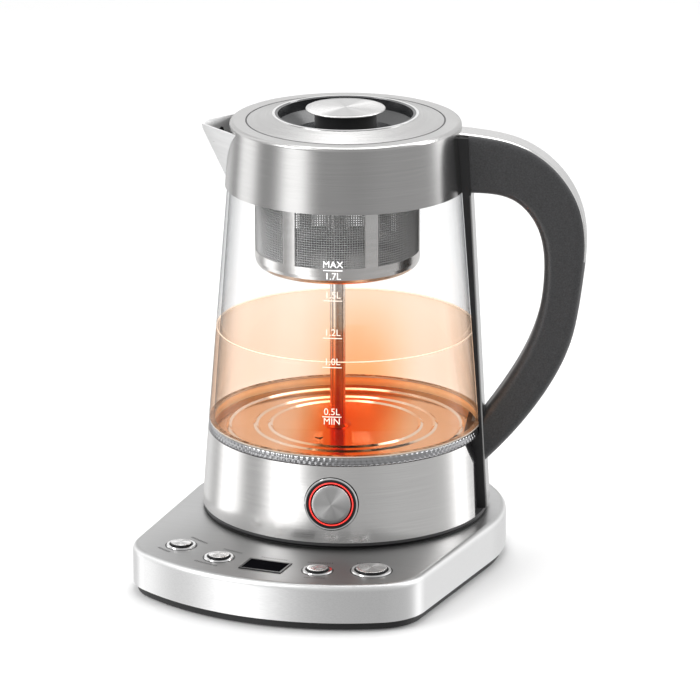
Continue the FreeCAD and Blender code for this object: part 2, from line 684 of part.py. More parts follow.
def make_panel_button(name, step, cap):
    """Cap with its stem, on the panel's arc."""
    stem_low = f"({BOARD_TOP} + switch_height + key_travel + part_gap)"
    button = revolved(f"{name}_button", (
        ("0", stem_low),
        ("key_stem_radius", stem_low),
        ("key_stem_radius", "base_top - key_depth"),
        (cap, "base_top - key_depth"),
        (cap, "base_top + key_height - contact_thickness"),
        (f"{cap} - contact_thickness", "base_top + key_height"),
        ("0", "base_top + key_height"),
    ))
    button.Placement = control_place(step)
    return button


def make_panel_bezels():
    """Four metal rings with sleeves that guide the buttons, in one node."""
    rings = []
    for name, step, cap, bezel in KEYS:
        ring = revolved(f"{name}_bezel", (
            (f"{cap} + guide_gap", "base_top - bezel_depth"),
            (f"{bezel} - bezel_ring", "base_top - bezel_depth"),
            (f"{bezel} - bezel_ring", "base_top"),
            (bezel, "base_top"),
            (f"{bezel} - bezel_height / 2", "base_top + bezel_height"),
            (f"{cap} + key_gap", "base_top + bezel_height"),
            (f"{cap} + key_gap", "base_top - key_gap_depth"),
            (f"{cap} + guide_gap", "base_top - key_gap_depth"),
        ))
        ring.Placement = control_place(step)
        rings.append(ring)
    return joined("panel_bezels", rings)


def joined(label, members):
    """One node that holds several separate solids."""
    group = doc.addObject("Part::Compound", label)
    group.Label = label
    group.Links = members
    return group


def make_display():
    """Dark window, its bright frame and the module under it."""
    window = new_body("display_window")
    low = CHASSIS_TOP
    add_pad(window, low, "base_top + part_gap",
            lambda s: draw_rectangle(s, "0", "0", "display_width", "display_depth"))
    frame = new_body("display_frame")

    def draw_frame(sketch):
        draw_rectangle(sketch, "0", "0", "display_width + 2 * display_frame",
                       "display_depth + 2 * display_frame")
        draw_rectangle(sketch, "0", "0", "display_width + part_gap", "display_depth + part_gap")
    add_pad(frame, "base_top", "base_top + display_frame_height", draw_frame)
    module = new_body("display_module")
    add_pad(module, f"{CHASSIS_TOP} - display_module_height", CHASSIS_TOP,
            lambda s: draw_rectangle(s, "0", "0", "display_width", "display_depth"))
    for part in (window, frame, module):
        part.Placement = control_place(0)
    return window, frame, module


def draw_board_outline(sketch):
    """Sector of a ring under the controls."""
    outer = size("panel_radius + board_half_width")
    inner = size("panel_radius - board_half_width")
    half = math.radians(size("board_half_angle"))
    front = -math.pi / 2
    up = Vector(0, 0, 1)
    corners = [Vector(r * math.sin(a), -r * math.cos(a), 0)
               for r, a in ((outer, half), (inner, half), (inner, -half), (outer, -half))]
    first = sketch.addGeometry([
        Part.ArcOfCircle(Part.Circle(Vector(), up, outer), front - half, front + half),
        Part.LineSegment(corners[0], corners[1]),
        Part.ArcOfCircle(Part.Circle(Vector(), up, inner), front - half, front + half),
        Part.LineSegment(corners[2], corners[3]),
    ], False)[0]
    for edge, end, other, other_end in ((0, 2, 1, 1), (1, 2, 2, 2), (2, 1, 3, 1), (3, 2, 0, 1)):
        sketch.addConstraint(Sketcher.Constraint("Coincident", first + edge, end, first + other, other_end))
    for edge, formula in ((0, "panel_radius + board_half_width"), (2, "panel_radius - board_half_width")):
        sketch.addConstraint(Sketcher.Constraint("Coincident", first + edge, 3, -1, 1))
        index = sketch.addConstraint(Sketcher.Constraint("Radius", first + edge, size(formula)))
        sketch.setExpression(f"Constraints[{index}]", bound(formula))
        for end, side in ((1, "-1"), (2, "1")):
            x = f"{side} * ({formula}) * sin(board_half_angle * 1 deg)"
            index = sketch.addConstraint(Sketcher.Constraint("DistanceX", -1, 1, first + edge, end, size(x)))
            sketch.setExpression(f"Constraints[{index}]", bound(x))


def make_boards():
    """Control board with its switches, and the power board with its relay."""
    board = new_body("control_board")
    add_pad(board, "board_low", BOARD_TOP, draw_board_outline)
    switches = new_body("panel_switches")
    centres = [control_centre(step) for name, step, cap, bezel in KEYS]

    def draw_switches(sketch):
        for x, y in centres:
            draw_rectangle(sketch, x, y, "switch_size", "switch_size")
    add_pad(switches, BOARD_TOP, f"{BOARD_TOP} + switch_height", draw_switches)
    power = new_body("power_board")
    add_pad(power, "power_board_low", "power_board_low + board_thickness",
            lambda s: draw_rectangle(s, "0", "power_board_y", "power_board_length", "power_board_width"))
    relay_low = "power_board_low + board_thickness"
    add_pad(power, relay_low, f"{relay_low} + relay_height",
            lambda s: draw_rectangle(s, "0", "power_board_y", "relay_length", "relay_width"))
    return board, switches, power


def make_cord_gland():
    """Bush through the back of the skin, with the cord's bore."""
    part = revolved("cord_gland", (
        ("gland_bore_radius", "0"),
        ("gland_radius", "0"),
        ("gland_radius", "gland_length"),
        ("gland_bore_radius", "gland_length"),
    ))
    back = size("base_back_radius + gland_proud - gland_length")
    part.Placement = Placement(Vector(0, back, size("gland_height")), Rotation(Vector(1, 0, 0), -90))
    return part


def cut_gland_hole(cover):
    """Round hole through the back of the skin for the gland."""
    sketch = new_sketch(cover, "XZ_Plane")
    draw_circle(sketch, "0", "gland_height", "gland_radius")
    hole = cover.newObject("PartDesign::Pocket", "base_cover_gland_hole")
    hole.Profile = sketch
    hole.Length = size("base_back_radius + gland_proud")
    hole.setExpression("Length", bound("base_back_radius + gland_proud"))
    return hole


# Kettle, lower part


def make_kettle_foot():
    """Plastic floor of the kettle with the dark band that shows under the skirt."""
    bore = "socket_radius + socket_clearance"
    wall_outside = f"{body_radius(SKIRT_LOW)} - skirt_wall - 2 * part_gap"
    floor_top = f"{FOOT_LOW} + foot_floor"
    part = revolved("kettle_foot", (
        (bore, FOOT_LOW),
        (f"{body_radius(SKIRT_LOW)} - contact_thickness", FOOT_LOW),
        (f"{body_radius(SKIRT_LOW)} - contact_thickness", SKIRT_LOW),
        (f"{wall_outside} - foot_wall_height * body_slope", SKIRT_LOW),
        (f"{wall_outside} - foot_wall_height * body_slope", f"{FOOT_LOW} + foot_wall_height"),
        (f"{wall_outside} - foot_wall_height * body_slope - foot_floor", f"{FOOT_LOW} + foot_wall_height"),
        (f"{wall_outside} - foot_wall_height * body_slope - foot_floor", floor_top),
        (bore, floor_top),
    ))
    spots = kettle_post_spots()
    add_pocket(part, FOOT_LOW, floor_top, lambda s: draw_spots(s, spots, "screw_radius"))
    head = f"{FOOT_LOW} + screw_head_height"
    add_pocket(part, FOOT_LOW, head, lambda s: draw_spots(s, spots, "screw_head_radius"))
    add_pocket(part, SKIRT_LOW, f"{FOOT_LOW} + foot_wall_height", draw_panel_flat)
    return turned(part)


def draw_panel_flat(sketch):
    """Everything outside the back of the skirt's panel, on the handle's side."""
    near = "panel_back_reach - part_gap"
    draw_rectangle(sketch, f"{near} + skirt_radius / 2", "0", "skirt_radius", "2 * skirt_radius")


def kettle_post_spots():
    """Formulas of the three posts between foot and liner, clear of the brew button."""
    return [(f"kettle_post_circle * cos({angle} deg)", f"kettle_post_circle * sin({angle} deg)")
            for angle in (30, 150, 225)]


def make_foot_screws():
    part = new_body("foot_screws")
    head = f"{FOOT_LOW} + screw_head_height"
    spots = kettle_post_spots()
    add_pad(part, FOOT_LOW, head, lambda s: draw_spots(s, spots, "screw_head_radius"))
    add_pad(part, head, f"{head} + screw_length", lambda s: draw_spots(s, spots, "screw_radius"))
    return turned(part)


def make_plate_liner():
    """Plastic ring that carries the floor plate, on posts from the foot."""
    outside = f"({body_radius(PLATE_LOW)} - skirt_wall - part_gap)"
    part = revolved("plate_liner", (
        (f"{outside} - liner_width", f"{PLATE_LOW} - liner_height"),
        (outside, f"{PLATE_LOW} - liner_height"),
        (outside, PLATE_LOW),
        (f"{outside} - liner_width", PLATE_LOW),
    ))
    floor_top = f"{FOOT_LOW} + foot_floor"
    spots = kettle_post_spots()
    add_pad(part, floor_top, PLATE_LOW, lambda s: draw_spots(s, spots, "kettle_post_radius"))
    bore_top = f"{FOOT_LOW} + screw_head_height + screw_length"
    add_pocket(part, floor_top, bore_top, lambda s: draw_spots(s, spots, "screw_radius"))
    add_pocket(part, f"{PLATE_LOW} - liner_height", PLATE_LOW, draw_panel_flat)
    return turned(part)


def make_connector_socket():
    """Round half of the connector in the kettle, open below for the plug's post."""
    low = f"{FOOT_LOW} + part_gap"
    bore = "plug_radius + contact_thickness + socket_clearance"
    bore_top = "base_top + plug_height + socket_clearance"
    return revolved("connector_socket", (
        (bore, low),
        ("socket_radius", low),
        ("socket_radius", f"{low} + socket_height"),
        ("0", f"{low} + socket_height"),
        ("0", bore_top),
        (bore, bore_top),
    ))


def make_thermostat():
    low = f"{FOOT_LOW} + part_gap + socket_height + socket_clearance"
    return turned(revolved("thermostat", (
        ("0", low),
        ("thermostat_radius", low),
        ("thermostat_radius", f"{low} + thermostat_height"),
        ("thermostat_neck_radius", f"{low} + thermostat_height"),
        ("thermostat_neck_radius", f"{PLATE_LOW} - diffuser_thickness"),
        ("0", f"{PLATE_LOW} - diffuser_thickness"),
    )))


def make_heater():
    """Aluminium plate, heating tube and temperature sensor under the floor."""
    plate = turned(revolved("heat_diffuser", (
        ("0", f"{PLATE_LOW} - diffuser_thickness"),
        ("diffuser_radius", f"{PLATE_LOW} - diffuser_thickness"),
        ("diffuser_radius", PLATE_LOW),
        ("0", PLATE_LOW),
    )))
    tube = new_body("heating_element")
    sketch = new_sketch(tube, "XZ_Plane")
    draw_circle(sketch, "element_circle", f"{PLATE_LOW} - diffuser_thickness - element_radius", "element_radius")
    turn = tube.newObject("PartDesign::Revolution", "heating_element_turn")
    turn.Profile = sketch
    turn.ReferenceAxis = (sketch, ["V_Axis"])
    turn.setExpression("Angle", bound("element_angle * 1 deg"))
    turned(tube)
    sensor = new_body("temperature_sensor")
    top = f"{PLATE_LOW} - diffuser_thickness"
    add_pad(sensor, f"{top} - sensor_height", top, lambda s: draw_circle(s, "0", "sensor_circle", "sensor_radius"))
    return plate, tube, turned(sensor)


def make_floor_plate():
    """Polished steel floor with three pressed beads."""
    rim = f"({body_radius(PLATE_LOW)} - skirt_wall - part_gap)"
    top = []
    for bead in ("outer_bead_radius", "middle_bead_radius", "inner_bead_radius"):
        top += [
            (f"{bead} + floor_bead_width / 2", SKIRT_TOP),
            (bead, f"{SKIRT_TOP} + floor_bead"),
            (f"{bead} - floor_bead_width / 2", SKIRT_TOP),
        ]
    plate = revolved("floor_plate", [("0", PLATE_LOW), (rim, PLATE_LOW), (rim, SKIRT_TOP)] + top
                     + [("0", SKIRT_TOP)])
    add_pocket(plate, PLATE_LOW, SKIRT_TOP, draw_panel_flat)
    return turned(plate)


def make_skirt():
    """Steel skirt: a cone of sheet with the brew button's hole, cut flat for the handle's panel."""
    part = revolved("skirt_shell", (
        (f"{body_radius(SKIRT_LOW)} - skirt_wall", SKIRT_LOW),
        (body_radius(SKIRT_LOW), SKIRT_LOW),
        (body_radius(SKIRT_TOP), SKIRT_TOP),
        (f"{body_radius(SKIRT_TOP)} - skirt_wall", SKIRT_TOP),
    ))
    sketch = new_sketch(part, "XZ_Plane")
    draw_circle(sketch, "0", "brew_height", "brew_bezel_radius + 2 * part_gap")
    hole = part.newObject("PartDesign::Pocket", "skirt_shell_button_hole")
    hole.Profile = sketch
    hole.Reversed = True
    hole.Length = size("skirt_radius")
    hole.setExpression("Length", bound("skirt_radius"))
    doc.recompute()
    return shaped("kettle_skirt", part.Shape.cut(panel_front("0")), TURN)


def panel_front(moved_in):
    """Solid of all that lies outside the face of the skirt's panel."""
    low, high = size(SKIRT_LOW), size(SKIRT_TOP)
    inset, far = size(moved_in), 2 * size("skirt_radius")
    corners = [(size("panel_low_reach") - inset, low), (size("panel_bend_reach") - inset, size("panel_bend")),
               (size("panel_top_reach") - inset, high), (far, high), (far, low)]
    wire = Part.makePolygon([Vector(x, 0, z) for x, z in corners + corners[:1]])
    return extruded(wire, far)


def make_light_ring():
    return turned(revolved("light_ring", (
        (f"{body_radius(SKIRT_TOP)} - light_ring_width", SKIRT_TOP),
        (body_radius(SKIRT_TOP), SKIRT_TOP),
        (body_radius(RING_TOP), RING_TOP),
        (f"{body_radius(SKIRT_TOP)} - light_ring_width", RING_TOP),
    )))


def make_glass():
    """Glass wall and the seals above and below it."""
    low, top = GLASS_LOW, GLASS_TOP
    glass = revolved("glass_jug", (
        (f"{body_radius(low)} - glass_wall", low),
        (body_radius(low), low),
        (f"{body_radius('collar_low')} - collar_wall - part_gap", "collar_low"),
        (f"{body_radius(top)} - collar_wall - part_gap", top),
        (f"{body_radius(top)} - glass_wall", top),
    ))
    lower_seal = revolved("lower_seal", (
        (f"{body_radius(RING_TOP)} - light_ring_width", RING_TOP),
        (f"{body_radius(RING_TOP)} - contact_thickness", RING_TOP),
        (f"{body_radius(RING_TOP)} - contact_thickness", low),
        (f"{body_radius(RING_TOP)} - light_ring_width", low),
    ))
    upper_seal = revolved("upper_seal", (
        (f"{body_radius(top)} - glass_wall", top),
        (f"{body_radius(top)} - collar_wall - part_gap", top),
        (f"{body_radius(top)} - collar_wall - part_gap - body_slope * glass_seal_height", f"{top} + glass_seal_height"),
        (f"{body_radius(top)} - glass_wall", f"{top} + glass_seal_height"),
    ))
    return turned(glass), joined("glass_seals", [turned(lower_seal), turned(upper_seal)])


# Kettle, upper part


def make_collar():
    """Steel collar with a rounded top edge and a flat rim round the mouth."""
    top = "collar_top"
    edge = "collar_edge_radius"
    part = revolved("collar_shell", (
        (f"{body_radius('collar_low')} - collar_wall", "collar_low"),
        (body_radius("collar_low"), "collar_low"),
        (body_radius(top), top),
        ("mouth_radius", top),
        ("mouth_radius", f"{top} - collar_wall"),
        (f"{body_radius(top)} - collar_wall - {edge}", f"{top} - collar_wall"),
        (f"{body_radius(top)} - collar_wall", f"{top} - collar_wall - {edge}"),
    ))
    rim = size(top)
    reach = size(body_radius(top)) - 1e-3
    add_fillet(part, edge, lambda e: at_height(e, rim) and e.BoundBox.XMax > reach)
    doc.recompute()
    return part


def make_mouth_ring():
    """Liner of the mouth: a tube with a flange under the collar's top and a ledge for the lid."""
    low = "collar_top - mouth_ring_depth"
    inside = "mouth_radius - mouth_ring_wall"
    top = "collar_top - collar_wall"
    return turned(revolved("mouth_ring", (
        (inside, low),
        ("mouth_radius", low),
        ("mouth_radius", f"{top} - mouth_ring_wall"),
        ("mouth_radius + mouth_flange", f"{top} - mouth_ring_wall"),
        ("mouth_radius + mouth_flange", top),
        ("mouth_radius", top),
        ("mouth_radius", f"{top} - part_gap"),
        (inside, f"{top} - part_gap"),
    )))


def spout_section(reach, half_width, depth, inset):
    """Wire across the spout: open V with a round keel, closed along the top."""
    keel = size("spout_keel_radius") * min(1, depth / size("spout_root_depth") + 0.25)
    top = size("spout_top")
    low = top - depth + inset
    side = half_width - inset
    slope = math.atan2(depth - inset, side)
    drop = keel * math.sin(slope)
    lift = keel * (1 - math.cos(slope))
    left = Vector(-reach, -drop, low + lift)
    right = Vector(-reach, drop, low + lift)
    arc = Part.Arc(left, Vector(-reach, 0, low), right).toShape()
    corners = (right, Vector(-reach, side, top), Vector(-reach, -side, top), left)
    lines = [Part.makeLine(a, b) for a, b in zip(corners, corners[1:])]
    return Part.Wire([arc] + lines)


def spout_volume(inset, lift):
    """Solid between the spout's root and tip, moved in by its wall, cut open above."""
    root = spout_section(size("spout_root"), size("spout_half_width"), size("spout_root_depth"), inset)
    tip = spout_section(size("spout_reach"), size("spout_tip_half_width"), size("spout_tip_depth"), inset)
    solid = Part.makeLoft([root, tip], True, True)
    solid.translate(Vector(0, 0, lift))
    return solid


def cone_volume(moved_in):
    """Solid inside of the body's cone, moved in by a formula, from the table to over the lid."""
    low, high = 0, 2 * size("collar_top")
    radii = [size(f"{body_radius(str(height))} - ({moved_in})") for height in (low, high)]
    return Part.makeCone(radii[0], radii[1], high)


def make_spout():
    """Folded steel beak on the collar, open above and into the mouth."""
    beak = spout_volume(0, 0).cut(spout_volume(size("spout_wall"), size("spout_wall") / 1e3))
    shape = beak.cut(cone_volume("0"))
    return shaped("spout", shape, TURN)


def cut_spout_mouth(collar):
    """Opens the collar where the spout's channel meets it."""
    channel = spout_volume(size("spout_wall"), 0)
    return shaped("collar", collar.Shape.cut(channel), TURN)


def button_place():
    """Place of the brew button: its axis square to the sloping skirt, pointing out."""
    lean = math.degrees(math.atan(size("body_slope")))
    height = size("brew_height")
    spot = Vector(0, -size(body_radius("brew_height")), height)
    return TURN.multiply(Placement(spot, Rotation(Vector(1, 0, 0), 90 - lean)))


def make_brew_button():
    """Cap, lit ring, black surround, bezel and the switch behind them, drawn along Z."""
    light_in = "brew_radius + guide_gap"
    light_out = f"{light_in} + brew_light_width"
    bezel_in = f"{light_out} + brew_surround_width"
    cap = revolved("brew_button", (
        ("0", "0 - brew_depth"),
        ("brew_stem_radius", "0 - brew_depth"),
        ("brew_stem_radius", "0 - brew_depth / 2"),
        ("brew_radius", "0 - brew_depth / 2"),
        ("brew_radius", "brew_proud - contact_thickness"),
        ("brew_radius - contact_thickness", "brew_proud"),
        ("0", "brew_proud"),
    ))
    light = revolved("brew_light_ring", (
        (light_in, "0 - brew_depth"), (light_out, "0 - brew_depth"),
        (light_out, "brew_bezel_height"), (light_in, "brew_bezel_height"),
    ))
    surround = revolved("brew_surround", (
        (light_out, "0 - brew_depth"), (bezel_in, "0 - brew_depth"),
        (bezel_in, "brew_bezel_height / 2"), (light_out, "brew_bezel_height / 2"),
    ))
    bezel = revolved("brew_bezel", (
        (bezel_in, "0 - brew_sleeve"),
        ("brew_bezel_radius", "0 - brew_sleeve"),
        ("brew_bezel_radius", "brew_bezel_height / 2"),
        ("brew_bezel_radius - brew_bezel_height / 2", "brew_bezel_height"),
        (bezel_in, "brew_bezel_height"),
    ))
    switch = new_body("brew_switch")
    switch_top = "0 - brew_depth - brew_travel - part_gap"
    add_pad(switch, f"{switch_top} - switch_height", switch_top,
            lambda s: draw_rectangle(s, "0", "0", "brew_switch_size", "brew_switch_size"))
    parts = (cap, light, surround, bezel, switch)
    for part in parts:
        part.Placement = button_place()
    return parts


# Handle


def spline(points):
    """Smooth edge through (reach, height) points in the handle's plane."""
    curve = Part.BSplineCurve()
    curve.interpolate([Vector(x, 0, z) for x, z in points])
    return curve


def handle_points(shares):
    """Points of the grip's outline from shares of its reach and of its height."""
    root, reach = size("handle_root"), size("handle_reach")
    low, top = size("handle_low"), size("handle_top")
    return [(root + (reach - root) * x, low + (top - low) * z) for x, z in shares]


OUTER_GRIP = ((-0.14, 1.0), (0.14, 0.99), (0.42, 0.967), (0.77, 0.885), (0.96, 0.772), (1.0, 0.66),
              (0.965, 0.535), (0.89, 0.395), (0.65, 0.225), (0.08, 0.0))
INNER_GRIP = ((-0.14, 0.82), (0.12, 0.82), (0.34, 0.805), (0.56, 0.73), (0.635, 0.59), (0.555, 0.425),
              (0.3, 0.255), (0.08, 0.15))


def extruded(wire, width):
    """A flat outline in the handle's plane, thickened evenly to both sides."""
    face = Part.Face(wire)
    face.translate(Vector(0, -width / 2, 0))
    return face.extrude(Vector(0, width, 0))


def handle_box(near, far, low, high, width):
    """Block in the handle's plane between two reaches and two heights."""
    return Part.makeBox(far - near, width, high - low, Vector(near, -width / 2, low))


def rail_reach(height):
    """Reach of the rail's outer face at a height."""
    return size("rail_low_reach") - size("rail_slope") * (height - size(SKIRT_LOW))


def rail_outline(near_shift, far_shift, low, high):
    """Sloping bar along the rail's outer face, between two shifts from that face."""
    corners = [(rail_reach(low) + near_shift, low), (rail_reach(low) + far_shift, low),
               (rail_reach(high) + far_shift, high), (rail_reach(high) + near_shift, high)]
    return Part.makePolygon([Vector(x, 0, z) for x, z in corners + corners[:1]])


def closed_band(outer, inner, width):
    """Solid between two smooth edges in the handle's plane."""
    edges = [outer.toShape(), Part.makeLine(outer.EndPoint, inner.EndPoint), inner.toShape(),
             Part.makeLine(inner.StartPoint, outer.StartPoint)]
    return extruded(Part.Wire(edges), width)


def cover_band():
    """Layer under the grip's outer edge and all above it, as wide as the handle."""
    outer = spline(handle_points(OUTER_GRIP))
    inner = spline(cover_inside(outer))
    band = closed_band(outer, inner, size("handle_width"))
    above = handle_box(0, size("handle_root"), inner.StartPoint.z, 2 * size("handle_top"), size("skirt_radius"))
    return band.fuse(above)


def make_handle():
    """Grip and its steel cover, both cut off where the brackets carry them."""
    outer = spline(handle_points(OUTER_GRIP))
    whole = closed_band(outer, spline(handle_points(INNER_GRIP)), size("handle_width"))
    long_edges = [edge for edge in whole.Edges if edge.Length > size("handle_reach")]
    whole = whole.makeFillet(size("handle_edge_radius"), long_edges)
    reach, top = size("handle_reach"), size("collar_top")
    band = closed_band(outer, spline(cover_inside(outer)), size("handle_cover_width"))
    upper = handle_box(0, 2 * reach, size("handle_cover_low"), 2 * top, reach)
    zone = band.common(upper)
    rail = extruded(rail_outline(-reach, size("rail_strip"), 0, top), reach)
    grip = whole.cut(zone).cut(rail)
    cover = whole.common(zone).cut(cone_volume("0"))
    return shaped("handle_grip", grip, TURN), shaped("handle_cover", cover, TURN)


def cover_inside(outer):
    """Points under the grip's outer edge, deeper by the cover's thickness."""
    points = []
    steps = 12
    for i in range(steps + 1):
        at = outer.FirstParameter + (outer.LastParameter - outer.FirstParameter) * i / steps
        spot, along = outer.value(at), outer.tangent(at)[0]
        points.append((spot.x + along.z * size("handle_cover_thickness"),
                       spot.z - along.x * size("handle_cover_thickness")))
    return points


def make_rail():
    """Black rail down the glass, its steel strip, the upper bracket and the skirt's panel."""
    low, high = size(SKIRT_LOW), size("bracket_low")
    far = size("skirt_radius")
    width, strip_width = size("rail_width"), size("rail_strip_width")
    body = cone_volume("0").cut(panel_front("0"))
    bar = extruded(rail_outline(-far, 0, low, high), width).cut(body)
    strip = extruded(rail_outline(0, size("rail_strip"), low, high), strip_width)
    back = handle_box(size("panel_back_reach"), far, low, size(SKIRT_TOP), 2 * far)
    panel = back.common(cone_volume("skirt_wall + part_gap")).cut(panel_front("0"))
    bracket_top = size("handle_top")
    block = extruded(rail_outline(-far, size("rail_strip"), high, bracket_top), width)
    bracket = block.cut(cone_volume("0")).cut(cover_band())
    return (shaped("handle_rail", bar, TURN), shaped("rail_strip", strip, TURN),
            shaped("skirt_panel", panel, TURN), shaped("handle_bracket", bracket, TURN))


# Lid


def lid_ring_under(radius):
    """Formula for the height of the lid ring's underside at a radius."""
    run = "(mouth_radius - lid_gap - lid_bowl_radius)"
    return f"collar_top - lid_ring_wall + lid_ring_rise * (mouth_radius - lid_gap - {radius}) / {run}"


def make_lid():
    """Lid ring, bright bezel, black bowl, knob, body, underside plate and gasket."""
    ring_out = "mouth_radius - lid_gap"
    bowl = "lid_bowl_radius"
    wall = "lid_ring_wall"
    ring = revolved("lid_ring", (
        (f"{bowl}", f"{BEZEL_Z} - {wall}"),
        (ring_out, f"collar_top - {wall}"),
        (ring_out, "collar_top"),
        (f"{bowl}", BEZEL_Z),
    ))
    bezel = revolved("lid_bezel", (
        (f"{bowl} - lid_bezel_width", f"{BEZEL_Z} - {wall}"),
        (bowl, f"{BEZEL_Z} - {wall}"),
        (bowl, f"{BEZEL_Z} + lid_bezel_width / 4"),
        (f"{bowl} - lid_bezel_width", f"{BEZEL_Z} + lid_bezel_width / 4"),
    ))
    bowl_in = f"{bowl} - lid_bezel_width - lid_bowl_wall"
    bowl_floor = f"{BEZEL_Z} - lid_bowl_depth"
    recess = revolved("lid_recess", (
        ("0", f"{bowl_floor} - lid_bowl_wall"),
        (f"{bowl_in} - lid_bowl_depth / 2", f"{bowl_floor} - lid_bowl_wall"),
        (f"{bowl} - lid_bezel_width", f"{BEZEL_Z} - lid_bowl_depth / 2"),
        (f"{bowl} - lid_bezel_width", BEZEL_Z),
        (bowl_in, BEZEL_Z),
        (bowl_in, f"{BEZEL_Z} - lid_bowl_depth / 2"),
        (f"{bowl_in} - lid_bowl_depth / 2 - lid_bowl_wall", bowl_floor),
        ("0", bowl_floor),
    ))
    stem = revolved("knob_stem", (
        ("0", bowl_floor),
        ("knob_stem_radius", bowl_floor),
        ("knob_stem_radius", "knob_top - knob_height"),
        ("0", "knob_top - knob_height"),
    ))
    cap = revolved("knob_cap", (
        ("0", "knob_top - knob_height"),
        ("knob_radius - contact_thickness", "knob_top - knob_height"),
        ("knob_radius", "knob_top - knob_height / 2"),
        ("knob_radius - contact_thickness", "knob_top"),
        ("0", "knob_top"),
    ))
    low = "collar_top - lid_body_depth"
    body = revolved("lid_body", (
        ("lid_body_radius - lid_body_wall", low),
        ("lid_body_radius", low),
        ("lid_body_radius", f"{low} + lid_body_depth / 2 - gasket_height"),
        ("lid_body_radius - lid_body_wall / 2", f"{low} + lid_body_depth / 2 - gasket_height"),
        ("lid_body_radius - lid_body_wall / 2", f"{low} + lid_body_depth / 2"),
        ("lid_body_radius", f"{low} + lid_body_depth / 2"),
        ("lid_body_radius", lid_ring_under("lid_body_radius")),
        ("lid_body_radius - lid_body_wall", lid_ring_under("(lid_body_radius - lid_body_wall)")),
    ))
    gasket = revolved("lid_gasket", (
        ("lid_body_radius - lid_body_wall / 2", f"{low} + lid_body_depth / 2 - gasket_height"),
        ("mouth_radius - mouth_ring_wall - gasket_gap", f"{low} + lid_body_depth / 2 - gasket_height"),
        ("mouth_radius - mouth_ring_wall - gasket_gap", f"{low} + lid_body_depth / 2"),
        ("lid_body_radius - lid_body_wall / 2", f"{low} + lid_body_depth / 2"),
    ))
    floor = revolved("lid_underside", (
        ("0", f"{low} - lid_floor"),
        ("lid_body_radius - lid_floor / 2", f"{low} - lid_floor"),
        ("lid_body_radius", low),
        ("0", low),
    ))
    return [turned(part) for part in (ring, bezel, recess, stem, cap, body, gasket, floor)]


# Basket and rod


def infuser_place():
    """Place of the rod and basket, off the axis towards the spout."""
    return TURN.multiply(Placement(Vector(-size("infuser_offset"), 0, 0), Rotation()))


def make_rod():
    rod = revolved("lift_rod", (
        ("0", SKIRT_TOP),
        ("rod_foot_radius", SKIRT_TOP),
        ("rod_foot_radius - rod_foot_height", f"{SKIRT_TOP} + rod_foot_height"),
        ("rod_radius", f"{SKIRT_TOP} + rod_foot_height"),
        ("rod_radius", "rod_top - rod_foot_height"),
        ("rod_radius - rod_foot_height", "rod_top"),
        ("0", "rod_top"),
    ))
    rod.Placement = infuser_place()
    return rod


CORNER_STEPS = 4


def corner_points(inset):
    """Formulas of points round the basket's lower edge, moved in by a formula."""
    points = []
    for step in range(CORNER_STEPS + 1):
        angle = f"({step} / {CORNER_STEPS} * 90 deg)"
        points.append((f"basket_radius - basket_corner + (basket_corner - {inset}) * sin({angle})",
                       f"basket_low + basket_corner - (basket_corner - {inset}) * cos({angle})"))
    return points


def make_basket():
    """Cup with windows and a rim, filter mesh behind them and the sleeve that runs on the rod."""
    wall = "basket_wall"
    sleeve_in = "rod_radius + sleeve_clearance"
    sleeve_out = f"{sleeve_in} + sleeve_wall"
    cup = revolved("basket_cup", [
        (sleeve_out, "basket_low"),
        *corner_points("0"),
        ("basket_radius", "basket_high - rim_height"),
        ("basket_radius + rim_width", "basket_high - rim_height / 2"),
        ("basket_radius + rim_width", "basket_high"),
        (f"basket_radius - {wall}", "basket_high"),
        *reversed(corner_points(wall)),
        (sleeve_out, f"basket_low + {wall}"),
    ])
    mesh_out = f"basket_radius - {wall}"
    mesh = revolved("basket_mesh", (
        (f"{mesh_out} - mesh_wall", f"{BASKET_BAND_TOP} - mesh_wall * 4"),
        (mesh_out, f"{BASKET_BAND_TOP} - mesh_wall * 4"),
        (mesh_out, "basket_window_top + mesh_wall * 4"),
        (f"{mesh_out} - mesh_wall", "basket_window_top + mesh_wall * 4"),
    ))
    cut_windows(cup)
    sleeve = revolved("basket_sleeve", (
        (sleeve_in, "basket_low"),
        (sleeve_out, "basket_low"),
        (sleeve_out, "sleeve_top"),
        (sleeve_in, "sleeve_top"),
    ))
    parts = (cup, mesh, sleeve)
    for part in parts:
        part.Placement = infuser_place()
    return parts


def cut_windows(cup):
    """One window through the wall, repeated round the basket."""
    doc.recompute()
    sketch = new_sketch(cup, "XZ_Plane")
    span = "2 * basket_radius * sin(180 deg / basket_windows) - basket_strip"
    draw_rectangle(sketch, "0", f"({BASKET_BAND_TOP} + basket_window_top) / 2", span,
                   f"basket_window_top - {BASKET_BAND_TOP}")
    window = cup.newObject("PartDesign::Pocket", "basket_cup_window")
    window.Profile = sketch
    window.Reversed = True
    window.Length = size("basket_radius")
    window.setExpression("Length", bound("basket_radius"))
    doc.recompute()
    ring = cup.newObject("PartDesign::PolarPattern", "basket_cup_windows")
    ring.Originals = [window]
    ring.Axis = (sketch, ["V_Axis"])
    ring.Angle = 360
    ring.setExpression("Occurrences", "Sizes.basket_windows")
    cup.Tip = ring
    return ring


